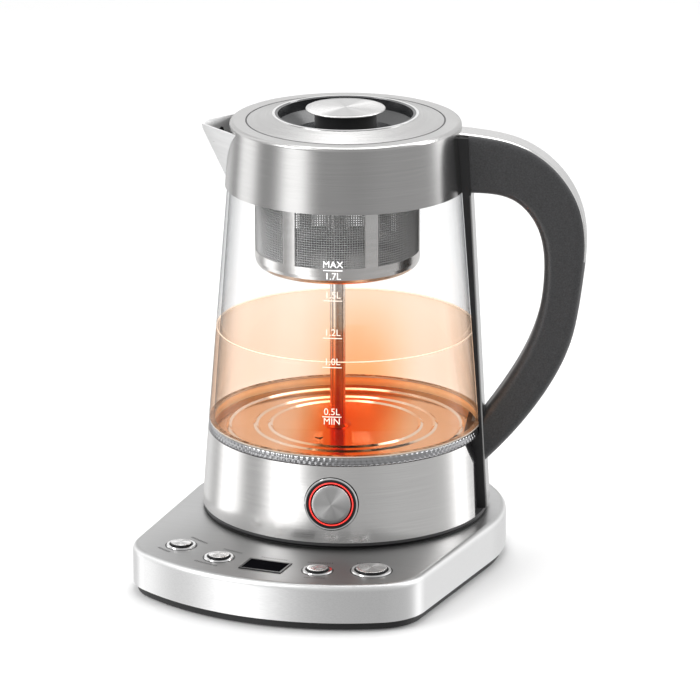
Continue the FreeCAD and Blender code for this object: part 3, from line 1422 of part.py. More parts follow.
def make_all():
    """Every sub-part, from the table up."""
    cover = make_base_cover()
    cut_gland_hole(cover)
    collar = make_collar()
    parts = [cover, make_base_chassis(), make_base_pan(), make_base_screws(), make_base_feet(),
             make_kettle_seat(), make_connector_plug(), make_connector_contacts()]
    parts += make_display()
    parts += make_boards()
    parts.append(make_cord_gland())
    parts += [make_panel_button(name, step, cap) for name, step, cap, bezel in KEYS]
    parts.append(make_panel_bezels())
    parts += [make_kettle_foot(), make_foot_screws(), make_plate_liner(), make_connector_socket(),
              make_thermostat()]
    parts += make_heater()
    parts += [make_floor_plate(), make_skirt(), make_light_ring()]
    parts += make_glass()
    parts += [cut_spout_mouth(collar), make_mouth_ring(), make_spout()]
    parts += make_brew_button()
    parts += make_handle()
    parts += make_rail()
    parts += make_lid()
    parts.append(make_rod())
    parts += make_basket()
    return parts


def check_document(parts):
    """Stops if an object failed or a sub-part has no sound shape."""
    doc.recompute()
    failed = [o.Label for o in doc.Objects if "Invalid" in o.State or "Error" in o.State]
    unsound = [p.Label for p in parts if p.Shape.isNull() or not p.Shape.isValid()]
    if failed or unsound:
        raise RuntimeError(f"failed objects {failed}, unsound parts {unsound}")


def write_parts(parts):
    os.makedirs("parts", exist_ok=True)
    for part in parts:
        part.Shape.exportStep(f"parts/{part.Label}.step")
        print(part.Label, round(part.Shape.Volume), len(part.Shape.Solids))


sub_parts = make_all()
check_document(sub_parts)
write_parts(sub_parts)
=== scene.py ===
import math

import bmesh
import bpy
from mathutils import Matrix, Vector


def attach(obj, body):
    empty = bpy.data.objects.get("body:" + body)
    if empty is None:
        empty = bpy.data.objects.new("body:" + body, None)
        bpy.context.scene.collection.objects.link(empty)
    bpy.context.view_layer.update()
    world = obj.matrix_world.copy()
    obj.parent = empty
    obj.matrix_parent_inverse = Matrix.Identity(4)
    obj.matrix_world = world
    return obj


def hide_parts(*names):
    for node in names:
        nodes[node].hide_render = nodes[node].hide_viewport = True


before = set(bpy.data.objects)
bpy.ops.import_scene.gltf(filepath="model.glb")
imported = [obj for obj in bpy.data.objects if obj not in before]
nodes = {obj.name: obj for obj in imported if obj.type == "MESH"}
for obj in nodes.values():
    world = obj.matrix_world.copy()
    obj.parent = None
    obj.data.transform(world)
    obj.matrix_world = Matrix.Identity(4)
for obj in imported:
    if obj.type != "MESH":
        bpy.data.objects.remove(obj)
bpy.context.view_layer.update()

# Sizes in metres, in the row frame: +Z up, controls towards -Y
KETTLE_TURN = math.radians(16.2)
KETTLE = Matrix.Rotation(KETTLE_TURN, 4, "Z")
SKIRT_LOW, SKIRT_TOP = 0.0296, 0.0724
RING_TOP, GLASS_LOW = 0.0772, 0.078
SKIRT_RADIUS, BODY_SLOPE = 0.0799, 0.075
TEA_TOP = 0.130
BASE_TOP = 0.0264
PANEL_RADIUS = 0.116
PANEL_PITCH = math.radians(14.4)
BREW_HEIGHT = 0.0515
BASKET_SHIFT = -0.0044
INFUSER = KETTLE @ Matrix.Translation((BASKET_SHIFT, 0, 0))
CAMERA_AZIMUTH, CAMERA_PITCH = math.radians(21.9), math.radians(16.9)


def body_radius(z):
    """Radius of the kettle's tapering wall at a height."""
    return SKIRT_RADIUS - BODY_SLOPE * (z - SKIRT_LOW)


# Materials. The helpers serve any owner of a node tree, so the world uses them as well


def new_material(name, color, roughness, metallic=0.0, **sockets):
    """A node material; sockets are constants set on the shader itself."""
    mat = bpy.data.materials.new(name)
    mat.use_nodes = True
    shader = mat.node_tree.nodes["Principled BSDF"]
    shader.inputs["Base Color"].default_value = (*color, 1)
    shader.inputs["Roughness"].default_value = roughness
    shader.inputs["Metallic"].default_value = metallic
    for key, value in sockets.items():
        shader.inputs[key.replace("_", " ")].default_value = value
    return mat


def add_node(mat, kind, **settings):
    node = mat.node_tree.nodes.new(kind)
    for key, value in settings.items():
        setattr(node, key, value)
    return node


def link(mat, source, target):
    mat.node_tree.links.new(source, target)


def feed(mat, value, socket):
    """Links another node's output to a socket, or sets the socket to a constant."""
    if isinstance(value, bpy.types.NodeSocket):
        link(mat, value, socket)
    else:
        socket.default_value = value


def shader_of(mat):
    return mat.node_tree.nodes["Principled BSDF"]


def object_place(mat):
    return add_node(mat, "ShaderNodeTexCoord").outputs["Object"]


def split(mat, vector):
    """The X, Y and Z outputs of a vector."""
    node = add_node(mat, "ShaderNodeSeparateXYZ")
    link(mat, vector, node.inputs[0])
    return node.outputs


def calculate(mat, operation, *values):
    """Result of a math node, from constants and other nodes' outputs."""
    node = add_node(mat, "ShaderNodeMath", operation=operation)
    for value, socket in zip(values, node.inputs):
        feed(mat, value, socket)
    return node.outputs[0]


def map_range(mat, value, source=(0, 1), target=(0, 1), smooth=False):
    """The value, brought from one range to another."""
    node = add_node(mat, "ShaderNodeMapRange", interpolation_type="SMOOTHSTEP" if smooth else "LINEAR")
    node.inputs["From Min"].default_value, node.inputs["From Max"].default_value = source
    node.inputs["To Min"].default_value, node.inputs["To Max"].default_value = target
    link(mat, value, node.inputs["Value"])
    return node.outputs["Result"]


def mix_colors(mat, factor, first, second, blend_type="MIX"):
    node = add_node(mat, "ShaderNodeMix", data_type="RGBA", blend_type=blend_type)
    feed(mat, factor, node.inputs["Factor"])
    feed(mat, first, node.inputs["A"])
    feed(mat, second, node.inputs["B"])
    return node.outputs["Result"]


def mix_shaders(mat, factor, first, second):
    node = add_node(mat, "ShaderNodeMixShader")
    for value, socket in zip((factor, first, second), node.inputs):
        link(mat, value, socket)
    return node.outputs[0]


def color_ramp(mat, value, stops):
    """Colour by a value; each stop is a place from 0 to 1 and a colour."""
    node = add_node(mat, "ShaderNodeValToRGB")
    elements = node.color_ramp.elements
    while len(elements) < len(stops):
        elements.new(0.5)
    for element, (at, color) in zip(elements, stops):
        element.position = at
        element.color = (*color, 1)
    link(mat, value, node.inputs[0])
    return node.outputs[0]


def noise(mat, scale, stretch=(1, 1, 1), detail=3.0):
    """Noise in object space, stretched along the axes."""
    mapping = add_node(mat, "ShaderNodeMapping")
    mapping.inputs["Scale"].default_value = stretch
    texture = add_node(mat, "ShaderNodeTexNoise")
    texture.inputs["Scale"].default_value = scale
    texture.inputs["Detail"].default_value = detail
    link(mat, object_place(mat), mapping.inputs["Vector"])
    link(mat, mapping.outputs["Vector"], texture.inputs["Vector"])
    return texture.outputs["Fac"]


# Most of a noise texture's values lie in this range
NOISE_RANGE = (0.3, 0.7)


def spread(mat, value, low, high):
    """A noise value spread between two numbers."""
    return map_range(mat, value, NOISE_RANGE, (low, high))


def tint(mat, value, dark, light):
    """Colour between two colours by a noise value."""
    color = mix_colors(mat, spread(mat, value, 0, 1), (*dark, 1), (*light, 1))
    link(mat, color, shader_of(mat).inputs["Base Color"])


def roughen(mat, value, low, high):
    link(mat, spread(mat, value, low, high), shader_of(mat).inputs["Roughness"])


def bumped(mat, value, distance, strength):
    """Normals of a surface whose height follows a value."""
    node = add_node(mat, "ShaderNodeBump")
    node.inputs["Distance"].default_value = distance
    node.inputs["Strength"].default_value = strength
    link(mat, value, node.inputs["Height"])
    return node.outputs["Normal"]


def bump(mat, value, distance, strength):
    link(mat, bumped(mat, value, distance, strength), shader_of(mat).inputs["Normal"])


def radial_tangent(mat):
    node = add_node(mat, "ShaderNodeTangent", direction_type="RADIAL", axis="Z")
    link(mat, node.outputs["Tangent"], shader_of(mat).inputs["Tangent"])


def brushed(name, color, roughness, stretch, anisotropic=0.0, radial=False, depth=0.00001, metallic=1.0):
    """Metal with fine streaks along the axes that stretch leaves low."""
    mat = new_material(name, color, roughness, metallic, Anisotropic=anisotropic)
    streaks = noise(mat, 1.0, stretch, 4.0)
    roughen(mat, streaks, roughness - 0.03, roughness + 0.03)
    tint(mat, noise(mat, 1.0, [s * 0.6 for s in stretch], 2.0), [c * 0.92 for c in color], color)
    bump(mat, streaks, depth, 0.5)
    if radial:
        radial_tangent(mat)
    return mat


# Painted highlights of turned steel: brightness round the turn, as shares of its colour
PAINTED_HIGHLIGHT_SECTORS = ((0.0, 0.95), (0.06, 1.1), (0.13, 1.35), (0.19, 0.85), (0.3, 0.78), (0.38, 1.0), (0.45, 0.8),
           (0.56, 1.05), (0.63, 1.35), (0.7, 0.85), (0.8, 0.78), (0.88, 1.0), (1.0, 0.95))


def spun(name, color, roughness):
    """Turned steel: fine rings round the piece's own axis, with painted highlights in lighter and darker
    sectors.
    """
    mat = new_material(name, color, roughness, 1.0, Anisotropic=0.85)
    place = object_place(mat)
    wave = add_node(mat, "ShaderNodeTexWave", wave_type="RINGS", rings_direction="Z")
    wave.inputs["Scale"].default_value = 700
    wave.inputs["Distortion"].default_value = 1.0
    link(mat, place, wave.inputs["Vector"])
    bump(mat, wave.outputs["Fac"], 0.00001, 0.25)
    # Painted highlights: colour by angle round the piece's own axis
    sweep = add_node(mat, "ShaderNodeTexGradient", gradient_type="RADIAL")
    link(mat, place, sweep.inputs["Vector"])
    stops = [(at, [min(1, c * share) for c in color]) for at, share in PAINTED_HIGHLIGHT_SECTORS]
    link(mat, color_ramp(mat, sweep.outputs["Fac"], stops), shader_of(mat).inputs["Base Color"])
    radial_tangent(mat)
    return mat


def plastic(name, color, roughness, grain_scale=1500, depth=0.00003, tint_scale=60, tint_depth=0.12,
            **sockets):
    """Plastic with a fine grain and a slightly uneven colour."""
    mat = new_material(name, color, roughness, **sockets)
    bump(mat, noise(mat, grain_scale, detail=2.0), depth, 0.6)
    roughen(mat, noise(mat, 40), roughness - 0.04, roughness + 0.06)
    dark, light = ([c * (1 + side * tint_depth) for c in color] for side in (-1, 1))
    tint(mat, noise(mat, tint_scale), dark, light)
    return mat


def paint_shade_on_top(mat):
    """Paints shade into the colour of faces that look up, darkest in front, where the controls are."""
    socket = shader_of(mat).inputs["Base Color"]
    color = socket.links[0].from_socket
    normal = add_node(mat, "ShaderNodeNewGeometry").outputs["Normal"]
    up = map_range(mat, split(mat, normal)["Z"], (0.6, 0.97), smooth=True)
    from_controls = add_node(mat, "ShaderNodeVectorMath", operation="DISTANCE")
    from_controls.inputs[1].default_value = (0.012, -0.11, BASE_TOP)
    link(mat, object_place(mat), from_controls.inputs[0])
    near = map_range(mat, from_controls.outputs["Value"], (0.11, 0.03), (0.5, 0.78), smooth=True)
    link(mat, mix_colors(mat, calculate(mat, "MULTIPLY", up, near), color, (0.10, 0.10, 0.10, 1)), socket)


# Painted tint of the light that reaches the rod through the tea, from the floor up to its surface
ROD_PAINTED_TEA_LIGHT = ((0.0, (1.0, 0.16, 0.03)), (0.6, (1.0, 0.3, 0.10)), (0.93, (1.0, 0.55, 0.36)),
              (0.99, (1.0, 1.0, 1.0)))


def paint_tea_light_below(mat, level):
    """Painted tint of the light through the tea: orange below the tea's surface, red lower down."""
    socket = shader_of(mat).inputs["Base Color"]
    color = socket.links[0].from_socket
    depth = map_range(mat, split(mat, object_place(mat))["Z"], (SKIRT_TOP, level))
    link(mat, mix_colors(mat, 1.0, color, color_ramp(mat, depth, ROD_PAINTED_TEA_LIGHT), "MULTIPLY"), socket)


STEEL = (0.80, 0.79, 0.78)
RING_GRAIN = (50, 50, 5200)
band_steel = brushed("band_steel", (0.88, 0.87, 0.86), 0.21, RING_GRAIN, 0.5, True, 0.000006)
# A darker copy of the band's steel: painted shade
shaded_collar_steel = brushed("shaded_collar_steel", (0.56, 0.555, 0.55), 0.2, RING_GRAIN, 0.5, True, 0.000006)
base_steel = brushed("base_steel", (0.90, 0.90, 0.90), 0.38, (60, 4200, 4200), depth=0.00001)
# Painted shade on the base's top
paint_shade_on_top(base_steel)
# A darker copy of the same steel: painted shade
shaded_lid_steel = brushed("shaded_lid_steel", (0.54, 0.536, 0.532), 0.24, RING_GRAIN, 0.3, True, 0.000003)
spout_steel = brushed("spout_steel", (0.78, 0.78, 0.78), 0.3, (60, 60, 600), depth=0.000004, metallic=0.6)
plain_steel = brushed("plain_steel", STEEL, 0.22, (60, 60, 600), depth=0.000004)
rod_steel = brushed("rod_steel", (0.82, 0.81, 0.80), 0.25, (60, 60, 600), depth=0.000004)
# Painted tea-coloured light on the rod below the tea's surface
paint_tea_light_below(rod_steel, TEA_TOP)
weave_steel = brushed("weave_steel", (0.62, 0.62, 0.62), 0.45, (60, 60, 60))
floor_steel = brushed("floor_steel", (1.0, 0.97, 0.94), 0.12, (30, 30, 30))
spun_steel = spun("spun_steel", (0.70, 0.695, 0.69), 0.24)
cover_steel = brushed("cover_steel", (0.68, 0.675, 0.67), 0.17, (1400, 1400, 9))
chrome = brushed("bright_trim", (0.88, 0.88, 0.88), 0.1, (200, 200, 200))
grip_plastic = plastic("grip_plastic", (0.046, 0.046, 0.048), 0.33, 1500, 0.00005, 1300, 0.3)
black_plastic = plastic("black_plastic", (0.012, 0.012, 0.013), 0.35)
bowl_plastic = plastic("bowl_plastic", (0.02, 0.021, 0.023), 0.22, Specular_IOR_Level=1.0)
pan_plastic = plastic("pan_plastic", (0.014, 0.014, 0.015), 0.5, 900, 0.00006)
band_plastic = plastic("band_plastic", (0.06, 0.06, 0.062), 0.4)
rubber = plastic("rubber", (0.02, 0.02, 0.02), 0.75, 700, 0.00008)
clear_seal = plastic("clear_seal", (0.72, 0.62, 0.52), 0.4)
inner_plastic = plastic("inner_plastic", (0.25, 0.25, 0.25), 0.5)
board_green = plastic("board_green", (0.03, 0.14, 0.06), 0.4)
brass = brushed("brass", (0.78, 0.58, 0.28), 0.25, (9, 9, 900))
tube_metal = brushed("tube_metal", (0.35, 0.33, 0.3), 0.4, (90, 90, 90))
cast_metal = brushed("cast_metal", (0.7, 0.7, 0.72), 0.45, (200, 200, 200))
window_black = plastic("window_black", (0.004, 0.004, 0.005), 0.15, 400, 0.000002, Specular_IOR_Level=0.0)


def bare_material(name):
    """A node material that has no shader yet."""
    mat = bpy.data.materials.new(name)
    mat.use_nodes = True
    mat.node_tree.nodes.remove(shader_of(mat))
    return mat


def use_surface(mat, shader_out):
    link(mat, shader_out, mat.node_tree.nodes["Material Output"].inputs["Surface"])


def clear_for_shadows(mat, shader_out):
    """Lets light through a clear piece, so that it throws no dark shadow."""
    path = add_node(mat, "ShaderNodeLightPath").outputs
    through = calculate(mat, "MAXIMUM", path["Is Shadow Ray"], path["Is Diffuse Ray"])
    clear = add_node(mat, "ShaderNodeBsdfTransparent")
    use_surface(mat, mix_shaders(mat, through, shader_out, clear.outputs[0]))


def edge_share(mat, power):
    """0 where a surface faces the view, towards 1 where it is seen along its face."""
    weight = add_node(mat, "ShaderNodeLayerWeight")
    weight.inputs["Blend"].default_value = 0.5
    return calculate(mat, "POWER", weight.outputs["Facing"], power)


def clear_shader(mat, color, roughness, gloss_low, gloss_high, normal=None):
    """Shader that doesn't bend light: coloured and clear, with more gloss where it is seen along its face."""
    clear = add_node(mat, "ShaderNodeBsdfTransparent")
    link(mat, color, clear.inputs["Color"])
    gloss = add_node(mat, "ShaderNodeBsdfGlossy")
    gloss.inputs["Roughness"].default_value = roughness
    if normal is not None:
        link(mat, normal, gloss.inputs["Normal"])
    share = map_range(mat, edge_share(mat, 4.0), target=(gloss_low, gloss_high))
    return mix_shaders(mat, share, clear.outputs[0], gloss.outputs[0])


def make_glass(name, color, edge):
    """Clear wall that looks greyer where it is seen along its face."""
    mat = bare_material(name)
    shade = mix_colors(mat, edge_share(mat, 5.0), (*color, 1), (*edge, 1))
    ripple = bumped(mat, noise(mat, 25, detail=1.0), 0.00002, 0.2)
    clear_for_shadows(mat, clear_shader(mat, shade, 0.02, 0.015, 0.35, ripple))
    return mat


glass = make_glass("jug_glass", (0.99, 0.99, 0.99), (0.45, 0.46, 0.47))
ring_clear = brushed("ring_clear", (0.42, 0.42, 0.43), 0.08, (300, 300, 300))


def glowing(name, color, strength):
    mat = new_material(name, color, 0.3)
    shader_of(mat).inputs["Emission Color"].default_value = (*color, 1)
    flicker = spread(mat, noise(mat, 300), strength * 0.8, strength * 1.1)
    link(mat, flicker, shader_of(mat).inputs["Emission Strength"])
    return mat


red_glow = glowing("red_glow", (1.0, 0.05, 0.04), 1.1)
dark_red = plastic("dark_red", (0.16, 0.006, 0.006), 0.3)
# Painted light: the white print of the scale marks glows a little
mark_white_painted_glow = glowing("mark_white_painted_glow", (1.0, 1.0, 1.0), 0.9)
# Painted light: a glow in the tea's colour for the clear ring's inner face
ring_inside_painted_glow = glowing("ring_inside_painted_glow", (1.0, 0.72, 0.45), 0.5)
# Painted light: a fainter glow in the tea's colour, for marks below the tea's surface
mark_faint_painted_glow = glowing("mark_faint_painted_glow", (1.0, 0.86, 0.74), 0.45)
# Painted highlight along the edge of the tea's surface
rim_painted_highlight = glowing("rim_painted_highlight", (1.0, 0.96, 0.9), 0.7)
leaf_brown = plastic("leaf_brown", (0.05, 0.015, 0.004), 0.5)
mark_grey = plastic("mark_grey", (0.07, 0.07, 0.07), 0.5)

# The tea's tones from its palest to its deepest, and the upright band in which it is deep, a painted shade:
# distances from the band's middle, which stands a little beside the rod
TEA_TONES_AND_PAINTED_SHADE = ((0.0, (0.98, 0.89, 0.81)), (0.35, (0.99, 0.77, 0.60)), (1.0, (1.0, 0.54, 0.26)))
BAND_MIDDLE = 0.003
BAND_WIDE, BAND_NARROW, BAND_CORE = 0.036, 0.014, 0.002


def make_tea_material():
    """Clear orange liquid with painted shade: deepest low down in an upright band that runs from front to
    back.
    """
    mat = bare_material("tea")
    spot = split(mat, object_place(mat))
    # Painted shade: the colour deepens towards the band's middle, towards the floor and, more narrowly, on
    # the front half
    off_middle = calculate(mat, "ABSOLUTE", calculate(mat, "SUBTRACT", spot["X"], BAND_MIDDLE))
    low_down = map_range(mat, spot["Z"], (TEA_TOP + 0.012, SKIRT_TOP + 0.004), smooth=True)
    wide = map_range(mat, off_middle, (BAND_WIDE, BAND_CORE), (0.03, 1), smooth=True)
    narrow = map_range(mat, off_middle, (BAND_NARROW, BAND_CORE), (0, 0.5), smooth=True)
    in_front = calculate(mat, "MULTIPLY", narrow, calculate(mat, "LESS_THAN", spot["Y"], 0.0))
    deep = calculate(mat, "MULTIPLY_ADD", in_front, calculate(mat, "POWER", low_down, 0.5),
                     calculate(mat, "MULTIPLY", wide, low_down))
    share = calculate(mat, "MULTIPLY_ADD", edge_share(mat, 2.0), 0.3, deep)
    use_surface(mat, clear_shader(mat, color_ramp(mat, share, TEA_TONES_AND_PAINTED_SHADE), 0.03, 0.01, 0.15))
    depth = add_node(mat, "ShaderNodeVolumeAbsorption")
    depth.inputs["Color"].default_value = (1.0, 0.66, 0.5, 1)
    depth.inputs["Density"].default_value = 1.8
    link(mat, depth.outputs[0], mat.node_tree.nodes["Material Output"].inputs["Volume"])
    return mat


tea_material = make_tea_material()


# Mesh helpers


def new_piece(name, mesh_data, material, body, place=None, smooth=True):
    """An object of the scene that rides on a body."""
    piece = bpy.data.objects.new(name, mesh_data)
    bpy.context.scene.collection.objects.link(piece)
    piece.data.materials.clear()
    piece.data.materials.append(material)
    piece.matrix_world = place or Matrix.Identity(4)
    if smooth:
        for polygon in piece.data.polygons:
            polygon.use_smooth = True
    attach(piece, body)
    return piece


def mesh_from(name, verts, faces):
    data = bpy.data.meshes.new(name)
    data.from_pydata([tuple(v) for v in verts], [], faces)
    data.update()
    return data


def lathe(name, profile, steps=96, wobble=None):
    """Mesh of a closed (radius, height) outline turned about Z; wobble changes the radius by angle."""
    verts, faces = [], []
    count = len(profile)
    for i in range(steps):
        angle = 2 * math.pi * i / steps
        for j, (radius, height) in enumerate(profile):
            r = radius + (wobble(angle, j) if wobble else 0)
            verts.append((r * math.cos(angle), r * math.sin(angle), height))
    for i in range(steps):
        a, b = i * count, (i + 1) % steps * count
        for j in range(count):
            k = (j + 1) % count
            if profile[j][0] <= 0 and profile[k][0] <= 0:
                continue
            faces.append((a + j, b + j, b + k, a + k))
    mesh = bmesh.new()
    for v in verts:
        mesh.verts.new(v)
    mesh.verts.ensure_lookup_table()
    for face in faces:
        mesh.faces.new([mesh.verts[i] for i in face])
    bmesh.ops.remove_doubles(mesh, verts=mesh.verts, dist=1e-7)
    bmesh.ops.recalc_face_normals(mesh, faces=mesh.faces)
    data = bpy.data.meshes.new(name)
    mesh.to_mesh(data)
    mesh.free()
    return data


# Carried-over CAD nodes, with the material of each

DRESS = {
    "base_cover": base_steel, "base_chassis": inner_plastic, "base_pan": pan_plastic,
    "base_screws": plain_steel, "base_feet": rubber, "kettle_seat": black_plastic,
    "connector_plug": black_plastic, "connector_contacts": brass, "display_window": window_black,
    "display_frame": black_plastic, "display_module": inner_plastic, "control_board": board_green,
    "panel_switches": black_plastic, "power_board": board_green, "cord_gland": rubber,
    "panel_bezels": chrome, "connector_socket": black_plastic, "kettle_foot": band_plastic,
    "foot_screws": plain_steel, "plate_liner": black_plastic, "thermostat": inner_plastic,
    "heat_diffuser": cast_metal, "heating_element": tube_metal, "temperature_sensor": tube_metal,
    "floor_plate": floor_steel, "kettle_skirt": band_steel, "light_ring": ring_clear,
    "glass_jug": glass, "glass_seals": clear_seal, "collar": shaded_collar_steel, "mouth_ring": black_plastic,
    "spout": spout_steel, "brew_light_ring": red_glow, "brew_surround": black_plastic,
    "brew_bezel": chrome, "brew_switch": black_plastic, "handle_grip": grip_plastic,
    "handle_cover": cover_steel, "handle_rail": black_plastic, "rail_strip": cover_steel,
    "skirt_panel": black_plastic, "handle_bracket": black_plastic, "lift_rod": rod_steel,
    "lid_ring": shaded_lid_steel, "lid_bezel": chrome, "lid_recess": bowl_plastic,
    "knob_stem": black_plastic, "lid_body": inner_plastic, "lid_gasket": rubber,
    "lid_underside": plain_steel, "basket_cup": plain_steel, "basket_sleeve": plain_steel,
    "brew_button": spun_steel, "knob_cap": spun_steel, "keep_warm_button": spun_steel,
    "function_button": spun_steel, "temperature_button": spun_steel, "power_button": spun_steel,
    "basket_mesh": plain_steel,
}
for node_name, dress in DRESS.items():
    cad = nodes[node_name]
    cad.data.materials.clear()
    cad.data.materials.append(dress)


# Spun caps with their own axes: a slightly domed face and a rounded rim

CAP_EDGE, CAP_DOME, CAP_RINGS = 0.0005, 0.0003, 6


def spun_cap(name, radius, low, top, place, body, node, shade_side=False):
    face = radius - CAP_EDGE
    profile = [(0, low), (face, low), (radius, low + CAP_EDGE), (radius, top - CAP_EDGE),
               (radius - CAP_EDGE * 0.3, top - CAP_EDGE * 0.3), (face, top)]
    for i in range(1, CAP_RINGS + 1):
        share = i / CAP_RINGS
        profile.append((face * (1 - share), top + CAP_DOME * (1 - (1 - share) ** 2)))
    piece = new_piece(name, lathe(name, profile, 128), spun_steel, body, place)
    # Black sides: painted shade, the dark of the gap round a key's cap
    if shade_side:
        piece.data.materials.append(black_plastic)
        for polygon in piece.data.polygons:
            if abs(polygon.normal.z) < 0.5:
                polygon.material_index = 1
    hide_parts(node)


def control_place(step):
    """Place of a control on the panel's arc, counted in steps from its middle."""
    angle = PANEL_PITCH * step
    spot = Vector((PANEL_RADIUS * math.sin(angle), -PANEL_RADIUS * math.cos(angle), 0))
    return Matrix.Translation(spot) @ Matrix.Rotation(angle, 4, "Z")


def dark_ring(name, inner, outer, low, top, place, body):
    """Thin black ring round an axis; between a cap and its bezel it is painted shade in the gap."""
    profile = [(inner, low), (outer, low), (outer, top), (inner, top)]
    ring = new_piece(name, lathe(name, profile, 96), black_plastic, body, place, smooth=False)


CAPS = (("keep_warm", -2, 0.00575), ("function", -1, 0.00575), ("temperature", 1, 0.00575),
        ("power", 2, 0.0085))
KEY_LOW, KEY_TOP = BASE_TOP - 0.0042, BASE_TOP + 0.0019
# How far the rings' inner and outer edges stand out from the cap
GAP_INNER, GAP_OUTER = 0.0003, 0.00088
BEZEL_INNER, BEZEL_OUTER = 0.00252, 0.0031
for cap_name, step, radius in CAPS:
    spun_cap(f"{cap_name}_cap", radius, KEY_LOW, KEY_TOP, control_place(step), f"{cap_name}_key",
             f"{cap_name}_button", shade_side=True)
# Black rings in the gaps round the caps are painted shade; thinner ones lie along the bezels' outer edges
for cap_name, step, radius in CAPS:
    dark_ring(f"{cap_name}_ring", radius + GAP_INNER, radius + GAP_OUTER, BASE_TOP - 0.0006,
              BASE_TOP + 0.0006, control_place(step), "base")
    dark_ring(f"{cap_name}_edge", radius + BEZEL_INNER, radius + BEZEL_OUTER, BASE_TOP - 0.0001,
              BASE_TOP + 0.0001, control_place(step), "base")
MOUTH_INNER, MOUTH_OUTER, MOUTH_LOW, MOUTH_TOP = 0.05422, 0.0550, 0.2470, 0.24745
dark_ring("mouth_edge", MOUTH_INNER, MOUTH_OUTER, MOUTH_LOW, MOUTH_TOP, KETTLE, "kettle")

# Rows of ticks: distance from the panel's centre, step of the control beside them and number of ticks
TICK_ROWS = ((0.1035, -2, 11), (0.1035, -1, 10), (0.1035, 0, 12), (0.1035, 1, 11), (0.1035, 2, 10),
             (0.1278, -2, 8), (0.1278, -1, 12), (0.1278, 1, 9))
TICK_PITCH, TICK_HALF_WIDTH, TICK_HALF_LENGTH, TICK_LIFT = 0.0013, 0.0003, 0.0008, 0.00006


def make_ticks():
    """Rows of plain ticks where the panel has its small labels."""
    verts, faces = [], []
    for reach, step, count in TICK_ROWS:
        for i in range(count):
            middle = PANEL_PITCH * step + (i - (count - 1) / 2) * TICK_PITCH / reach
            for across, along in ((-1, -1), (1, -1), (1, 1), (-1, 1)):
                a, r = middle + across * TICK_HALF_WIDTH / reach, reach + along * TICK_HALF_LENGTH
                verts.append((r * math.sin(a), -r * math.cos(a), BASE_TOP + TICK_LIFT))
            last = len(verts)
            faces.append((last - 4, last - 3, last - 2, last - 1))
    data = mesh_from("panel_ticks", verts, faces)
    ticks = new_piece("panel_ticks", data, mark_grey, "base", smooth=False)


make_ticks()

# The brew button's own frame: its middle on the skirt's face, +Z square out of the skirt
BREW_LEAN = math.atan(BODY_SLOPE)
BREW_PLACE = KETTLE @ Matrix.Translation((0, -body_radius(BREW_HEIGHT), BREW_HEIGHT)) \
    @ Matrix.Rotation(math.pi / 2 - BREW_LEAN, 4, "X")
BREW_RADIUS, BREW_LOW, BREW_TOP = 0.0107, -0.003, 0.0015
KNOB_RADIUS, KNOB_LOW, KNOB_TOP = 0.0219, 0.2532, 0.2543
spun_cap("brew_cap", BREW_RADIUS, BREW_LOW, BREW_TOP, BREW_PLACE, "brew_key", "brew_button")
spun_cap("knob_disc", KNOB_RADIUS, KNOB_LOW, KNOB_TOP, KETTLE, "lid", "knob_cap")


# Lit ring round the brew button: a bright line between darker edges


def make_brew_glow():
    """Ring of clear red plastic, lit from behind, with dark sides."""
    inner, outer, low, top = 0.0112, 0.0125, BREW_LOW, 0.0006
    lit_in, lit_out = 0.0115, 0.0121
    bevel, slack = 0.0001, 0.00002
    shoulder = top - 3 * bevel
    profile = [(inner, low), (outer, low), (outer, shoulder), (lit_out, top - bevel), (lit_out - bevel, top),
               (lit_in + bevel, top), (lit_in, top - bevel), (inner, shoulder)]
    piece = new_piece("brew_glow", lathe("brew_glow", profile, 128), dark_red, "kettle", BREW_PLACE)
    piece.data.materials.append(red_glow)
    for polygon in piece.data.polygons:
        reach = math.hypot(polygon.center.x, polygon.center.y)
        if lit_in - slack < reach < lit_out + slack and polygon.center.z > 0:
            polygon.material_index = 1
    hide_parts("brew_light_ring")


make_brew_glow()


# Clear fluted ring under the glass

FLUTES, STEPS_PER_FLUTE, FLUTE_DEPTH = 150, 6, 0.0004


def flutes(angle, j):
    """Grooves on the outer face, in two rows that are half a groove apart."""
    if j in (1, 2):
        return -FLUTE_DEPTH * (0.5 - 0.5 * math.cos(FLUTES * angle))
    if j in (4, 5):
        return -FLUTE_DEPTH * (0.5 + 0.5 * math.cos(FLUTES * angle))
    return 0


def make_fluted_ring():
    """Ring of two fluted rows with a groove between them; its inner face glows in the tea's colour, a painted
    light.
    """
    inner, middle = body_radius(SKIRT_TOP) - 0.0033, (SKIRT_TOP + RING_TOP) / 2
    skin, half_groove, slack = 0.0001, 0.0004, 0.0004
    profile = [
        (inner, SKIRT_TOP + skin), (body_radius(SKIRT_TOP) - skin, SKIRT_TOP + 0.0003),
        (body_radius(middle) - skin, middle - half_groove), (body_radius(middle) - 0.0005, middle),
        (body_radius(middle) - skin, middle + half_groove), (body_radius(RING_TOP) - skin, RING_TOP - 0.0003),
        (inner, RING_TOP - skin),
    ]
    data = lathe("fluted_ring", profile, FLUTES * STEPS_PER_FLUTE, flutes)
    fluted = new_piece("fluted_ring", data, ring_clear, "kettle", KETTLE)
    fluted.data.materials.append(ring_inside_painted_glow)
    for polygon in fluted.data.polygons:
        if math.hypot(polygon.center.x, polygon.center.y) < inner + slack:
            polygon.material_index = 1
    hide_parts("light_ring")


make_fluted_ring()


# Overflow hole, drawn as a black disc laid on the inner face of the spout: painted shade where the hole is

HOLE_START, HOLE_WAY = Vector((-0.063, 0.003, 0.2375)), Vector((-0.751, 0.661, 0))
HOLE_OUTLINE = [(0, 0), (0.0016, 0), (0.0019, 0.0001), (0.0016, 0.0002), (0, 0.0002)]


